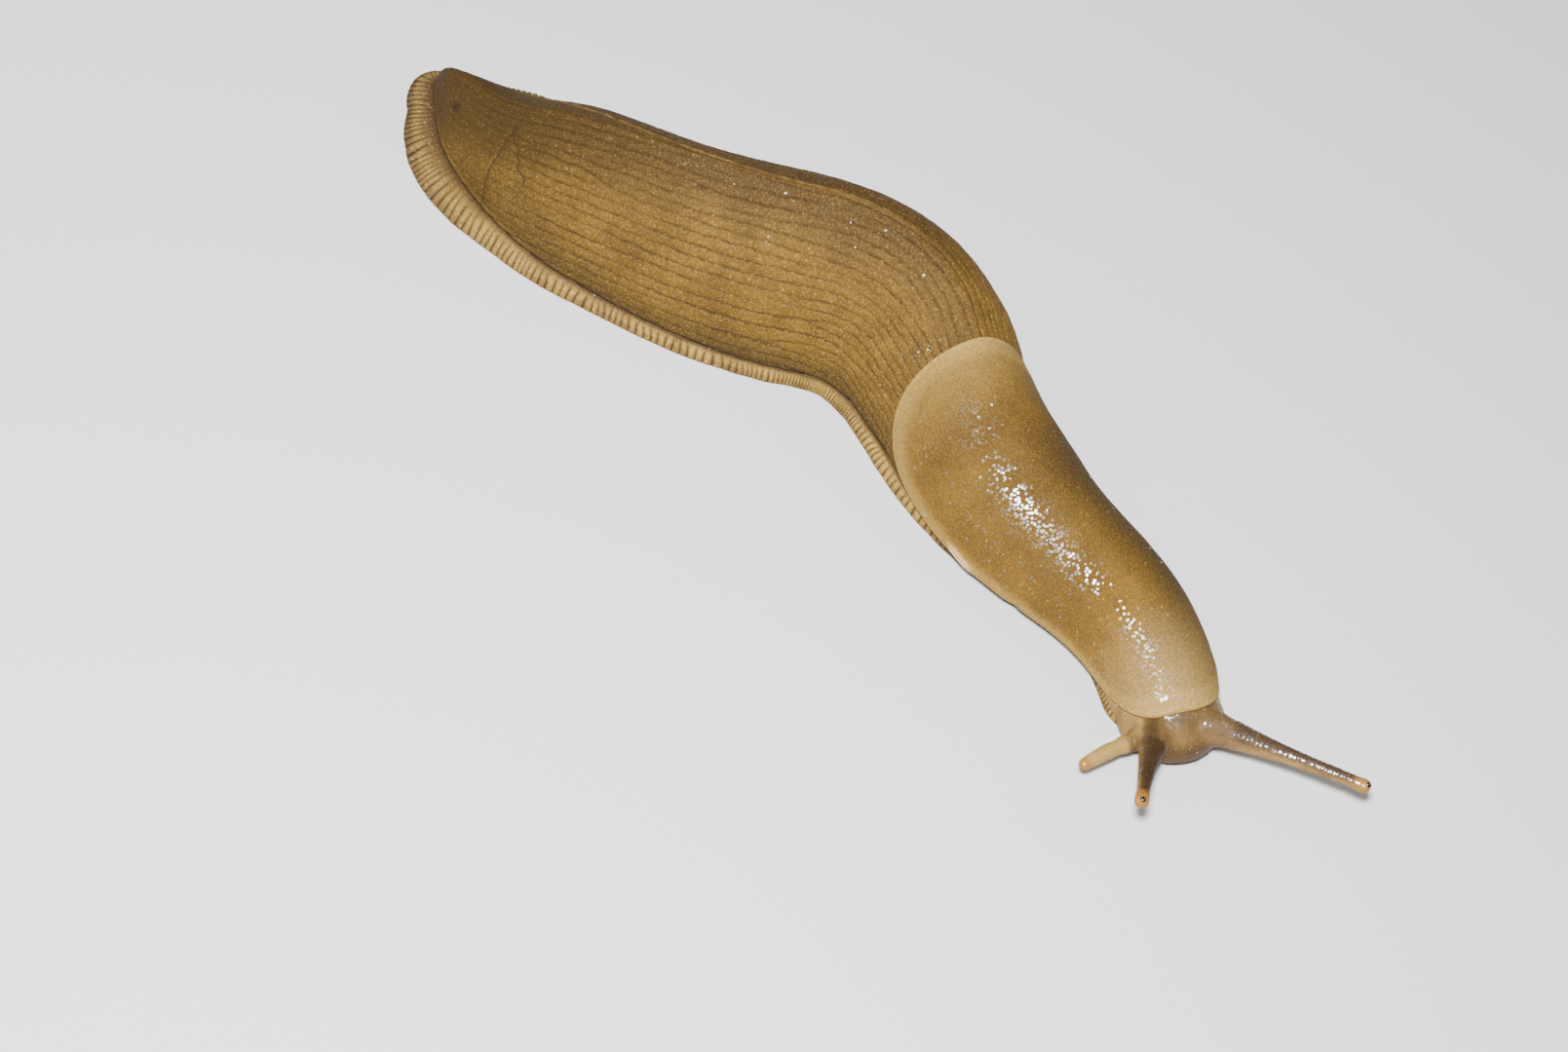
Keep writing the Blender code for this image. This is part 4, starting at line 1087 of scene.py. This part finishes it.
def makeHead(h):
    ahead = direction(math.degrees(heading(body["length"])), 0.0)
    lines = {name: feelerLine(feeler, "Optic" in name) for name, feeler in feelers.items()}
    lofts = [headRings(h)]
    lofts += [tubeRings(*line, 32) for line in lines.values()]
    for s, right, height, sizes in (h["upperLip"], *h["lobes"]):
        lofts.append(ballLoft(place(s, right, height), ahead, sizes))
    points, faces, first = [], [], 0
    for rings in lofts:
        loftPoints, loftFaces = closedLoft(rings)
        points.append(loftPoints)
        faces += [[first + corner for corner in face] for face in loftFaces]
        first += len(loftPoints)
    rough = bpy.data.meshes.new("roughHead")
    rough.from_pydata(np.concatenate(points) * millimetre, [], faces)
    shape = bmesh.new()
    shape.from_mesh(rough)
    bmesh.ops.recalc_face_normals(shape, faces=shape.faces)
    shape.to_mesh(rough)
    shape.free()
    draft = bpy.data.objects.new("roughHead", rough)
    bpy.context.scene.collection.objects.link(draft)
    remesh = draft.modifiers.new("join", "REMESH")
    remesh.mode = "VOXEL"
    remesh.voxel_size = h["voxel"] * millimetre
    evaluated = draft.evaluated_get(bpy.context.evaluated_depsgraph_get())
    mesh = bpy.data.meshes.new_from_object(evaluated)
    bpy.data.objects.remove(draft)
    points = np.zeros(len(mesh.vertices) * 3)
    mesh.vertices.foreach_get("co", points)
    points = points.reshape(-1, 3) / millimetre
    edges = np.zeros(len(mesh.edges) * 2, np.int64)
    mesh.edges.foreach_get("vertices", edges)
    edges = edges.reshape(-1, 2)

    points = relax(points, edges, np.full(len(points), 0.5), h["evenSteps"])
    weight = np.zeros(len(points))
    for name, (centres, ways, radii) in lines.items():
        root = centres[8]
        near = np.linalg.norm(points - root, axis=1)
        reach = h["filletReach"] * (1.0 if "Optic" in name else 0.7)
        weight = np.maximum(weight, smooth((reach - near) / 1.2))
    front = place(145.4, 0.0, 2.6)
    weight = np.maximum(weight, 0.4 * smooth((5.0 - np.linalg.norm(points - front, axis=1)) / 2.0))
    points = relax(points, edges, 0.6 * weight, h["filletSteps"])

    mesh.vertices.foreach_set("co", (points * millimetre).ravel().astype(np.float32))
    mesh.update()
    normals = np.zeros(len(points) * 3)
    mesh.vertices.foreach_get("normal", normals)
    normals = normals.reshape(-1, 3)

    onFeeler, tipMask, wrinkle = np.zeros(len(points)), np.zeros(len(points)), np.zeros(len(points))
    redMask, pale, wet = np.zeros(len(points)), np.zeros(len(points)), np.full(len(points), 0.1)
    for name, (centres, ways, radii) in lines.items():
        distance, nearest = alongLine(points, centres)
        step = np.linalg.norm(np.diff(centres, axis=0), axis=1)
        ran = np.concatenate(([0], np.cumsum(step)))[nearest]
        ran = ran + ((points - centres[nearest]) * ways[nearest]).sum(-1)
        mine = (distance < radii[nearest] * 1.4 + 0.25) * smooth((ran - 3.4) / 1.6)
        end = ran.max()
        onFeeler = np.maximum(onFeeler, mine)
        tipMask = np.maximum(tipMask, mine * smooth((ran - end + 3.0) / 2.2))
        rings = np.sin(2 * np.pi * (ran / h["ringPitch"] + 0.4 * noise(points, 0.9, 71)))
        wrinkle = wrinkle + 0.016 * rings * mine * (1 - smooth((ran - end + 3.2) / 1.0))
        if name == "rightOptic":
            # painted shade on the side of the right eye feeler that faces the slug's left, less towards its end
            away = smooth(0.7 + normals @ np.cross((0, 0, 1), ahead))
            redMask = np.maximum(redMask, mine * away * (1 - 0.6 * smooth((ran - end + 2.5) / 2)))
        if name == "leftOptic":
            wet = np.maximum(wet, (distance < radii[nearest] * 1.5 + 0.3) * smooth((ran - 1.6) / 1.0))
        if "Feeler" in name:
            pale = np.maximum(pale, mine)
    for patchS, patchAngle, reach in h["wetPatches"]:
        fromPatch = np.linalg.norm(points - skin(patchS, patchAngle, -1.0), axis=1)
        wet = np.maximum(wet, smooth(1.5 - fromPatch / reach))

    # folds that run forwards over the neck, fading at the feelers and the snout
    spine = np.stack((courseX, courseY), axis=-1)
    near = np.argmin(np.linalg.norm(points[:, None, :2] - spine[None, 1200::4], axis=-1), axis=1)
    s = course[1200::4][near]
    turn = heading(s)
    fromSpine = points[:, :2] - spine[1200::4][near]
    right = fromSpine[:, 0] * np.sin(turn) - fromSpine[:, 1] * np.cos(turn)
    bare = (1 - onFeeler) * (1 - smooth((s - 144) / 2))
    folds = np.sin(2 * np.pi * (right / 1.15 + 0.5 * noise(flat(s / 3, right), 1.2, 72)))
    lift = wrinkle + 0.01 * folds * bare + 0.03 * noise(points, 1.0, 73) + 0.015 * noise(points, 0.5, 74)

    # the mouth is a slit across the front, below the upper lip
    mouthAt = place(147.2, 0.0, 2.15)
    side = np.cross((0, 0, 1), ahead)
    away = points - mouthAt
    across, above = away @ side, away[:, 2] + 0.12 * (away @ side) ** 2 / 2
    mouth = np.exp(-(above / 0.22) ** 2) * smooth((2.0 - np.abs(across)) / 0.7) * (away @ ahead > -2.2)
    mouth = mouth * (normals @ ahead > 0.1)
    lift = lift - 0.35 * mouth
    points = points + normals * lift[:, None]

    # a dark band shows through from the mantle's edge to the right eye feeler
    startOfStreak, endOfStreak = skin(141.5, 46.0, -0.8), lines["rightOptic"][0][60]
    way = endOfStreak - startOfStreak
    share = np.clip(((points - startOfStreak) @ way) / (way @ way), 0, 1)
    fromStreak = np.linalg.norm(points - startOfStreak - share[:, None] * way, axis=1)
    streak = smooth((1.75 - fromStreak) / 0.9) * (0.75 + 0.25 * noise(points, 1.2, 75))
    upward = smooth((normals[:, 2] - 0.1) / 0.8)
    top = upward * smooth((points[:, 2] - 5.5) / 2) * (1 - onFeeler)
    masks = {
        "purple": np.clip(0.7 * top + 0.95 * (onFeeler - pale) * upward, 0, 1) * (1 - tipMask),
        "pale": pale * (1 - tipMask),
        # painted shade on the low front of the head
        "snout": smooth((s - 142.4) / 2.4) * smooth((7.4 - points[:, 2]) / 3) * (1 - onFeeler),
        "wet": wet * smooth((normals[:, 2] - 0.2) / 0.4),
        "tip": tipMask * 0.75,
        "red": redMask * 0.9,
        "streak": np.clip(streak, 0, 1) * 0.9,
        "mouth": mouth,
        # painted shade, darker towards and beneath the mantle's edge
        "under": smooth((134 - s) / 6),
    }
    mesh.vertices.foreach_set("co", (points * millimetre).ravel().astype(np.float32))
    mesh.update()
    for mask, values in masks.items():
        layer = mesh.attributes.new(mask, "FLOAT", "POINT")
        layer.data.foreach_set("value", values.astype(np.float32))
    piece = finishPiece("headSkin", mesh, headLook)
    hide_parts("neck", "head", "left_optic_lower", "left_optic_upper", "left_optic_tip",
                "right_optic_stalk", "right_optic_tip", "left_feeler", "right_feeler")
    for side in ("left", "right"):
        makeEye(side, lines[side + "Optic"], h)


def makeEye(side, line, h):
    # Flat dark ball sunk in the upper front of the knob
    centres, ways, _ = line
    way = ways[-1]
    middle = centres[-1] - way * h["knobRadius"]
    upright = np.cross(way, np.cross((0, 0, 1), way))
    upright /= np.linalg.norm(upright)
    tilt = math.radians(h["eyeTilt"])
    look = way * math.cos(tilt) + upright * math.sin(tilt)
    t = np.radians(np.linspace(-88, 88, 24))
    seat = middle + look * h["eyeSeat"]
    centres = seat + look * (np.sin(t) * h["eyeDepth"])[:, None]
    rings = tubeRings(centres, np.tile(look, (24, 1)), np.cos(t) * h["eyeRadius"], 32)
    points, faces = closedLoft(rings)
    quads = [face for face in faces if len(face) == 4]
    triangles = [face for face in faces if len(face) == 3]
    piece = makePiece(side + "Eye", points, quads, triangles, eyeLook, {})
    outwards(piece)
    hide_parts(side + "_eye")


makeHead(head)


# Floor, light and camera

studio = {
    "floor": (212, 210, 205),
    "world": (1.0, 0.98, 0.95),
    "worldStrength": 0.13,
    # place, size and power of each lamp
    "lamps": (((-0.10, -0.30, 0.36), 0.20, 0.45), ((-0.35, -0.05, 0.30), 0.35, 0.4),
              ((0.25, 0.25, 0.35), 0.30, 0.6)),
    "flash": (0.045, 6.3),
}


def makeFloor():
    look, tree, shader, where = newLook("Floor", {"Roughness": 0.9})
    spots = addGroup(tree, blotchGroup, Vector=where, Cloud_Scale=6.0)
    colour = blend(tree, spots["Cloud"], 0.03, linear(studio["floor"]), linear((200, 198, 192)))
    tree.links.new(colour, shader.inputs["Base Color"])
    mesh = bpy.data.meshes.new("floor")
    mesh.from_pydata([(-3, -3, -2e-5), (3, -3, -2e-5), (3, 3, -2e-5), (-3, 3, -2e-5)], [], [(0, 1, 2, 3)])
    mesh.materials.append(look)
    floor = bpy.data.objects.new("floor", mesh)
    bpy.context.scene.collection.objects.link(floor)


def makeLamp(name, at, aim, size, power, colour=(1.0, 0.98, 0.95)):
    lamp = bpy.data.lights.new(name, "AREA")
    lamp.shape = "DISK"
    lamp.size, lamp.energy, lamp.color = size, power, colour
    holder = bpy.data.objects.new(name, lamp)
    holder.location = at
    holder.rotation_euler = (Vector(aim) - Vector(at)).to_track_quat("-Z", "Y").to_euler()
    bpy.context.scene.collection.objects.link(holder)


camera = {
    "azimuth": 20.0,
    "elevation": 54.5,
    "roll": 25.0,
    "lens": 75.0,
    "sensor": 36.0,
    "distance": 0.419,
    "target": (0.00174, -0.02107, 0.0),
}


def makeCamera(c):
    azimuth, elevation, roll = (math.radians(c[key]) for key in ("azimuth", "elevation", "roll"))
    away = Vector((math.sin(azimuth) * math.cos(elevation), -math.cos(azimuth) * math.cos(elevation),
                   math.sin(elevation)))
    right = Vector((math.cos(azimuth), math.sin(azimuth), 0))
    up = away.cross(right)
    turnedUp = math.cos(roll) * up - math.sin(roll) * right
    turnedRight = math.cos(roll) * right + math.sin(roll) * up
    lens = bpy.data.cameras.new("camera")
    lens.lens, lens.sensor_width = c["lens"], c["sensor"]
    lens.clip_start, lens.clip_end = 0.01, 20
    holder = bpy.data.objects.new("camera", lens)
    at = Vector(c["target"]) + away * c["distance"]
    holder.matrix_world = Matrix.Translation(at) @ Matrix(
        (turnedRight, turnedUp, away)).transposed().to_4x4()
    bpy.context.scene.collection.objects.link(holder)
    bpy.context.scene.camera = holder
    return at, turnedUp, turnedRight


makeFloor()
eyePoint, cameraUp, cameraRight = makeCamera(camera)
for i, (at, size, power) in enumerate(studio["lamps"]):
    makeLamp(f"softLamp{i + 1}", at, (0, 0, 0), size, power)
flashAt = eyePoint + cameraUp * 0.05
makeLamp("flash", flashAt, (0.03, 0, 0), *studio["flash"], (0.9, 0.92, 1.0))
world = bpy.data.worlds.new("studio")
bpy.context.scene.world = world
world.use_nodes = True
world.node_tree.nodes["Background"].inputs[0].default_value = (*studio["world"], 1.0)
world.node_tree.nodes["Background"].inputs[1].default_value = studio["worldStrength"]
print("floor, lamps and camera made")
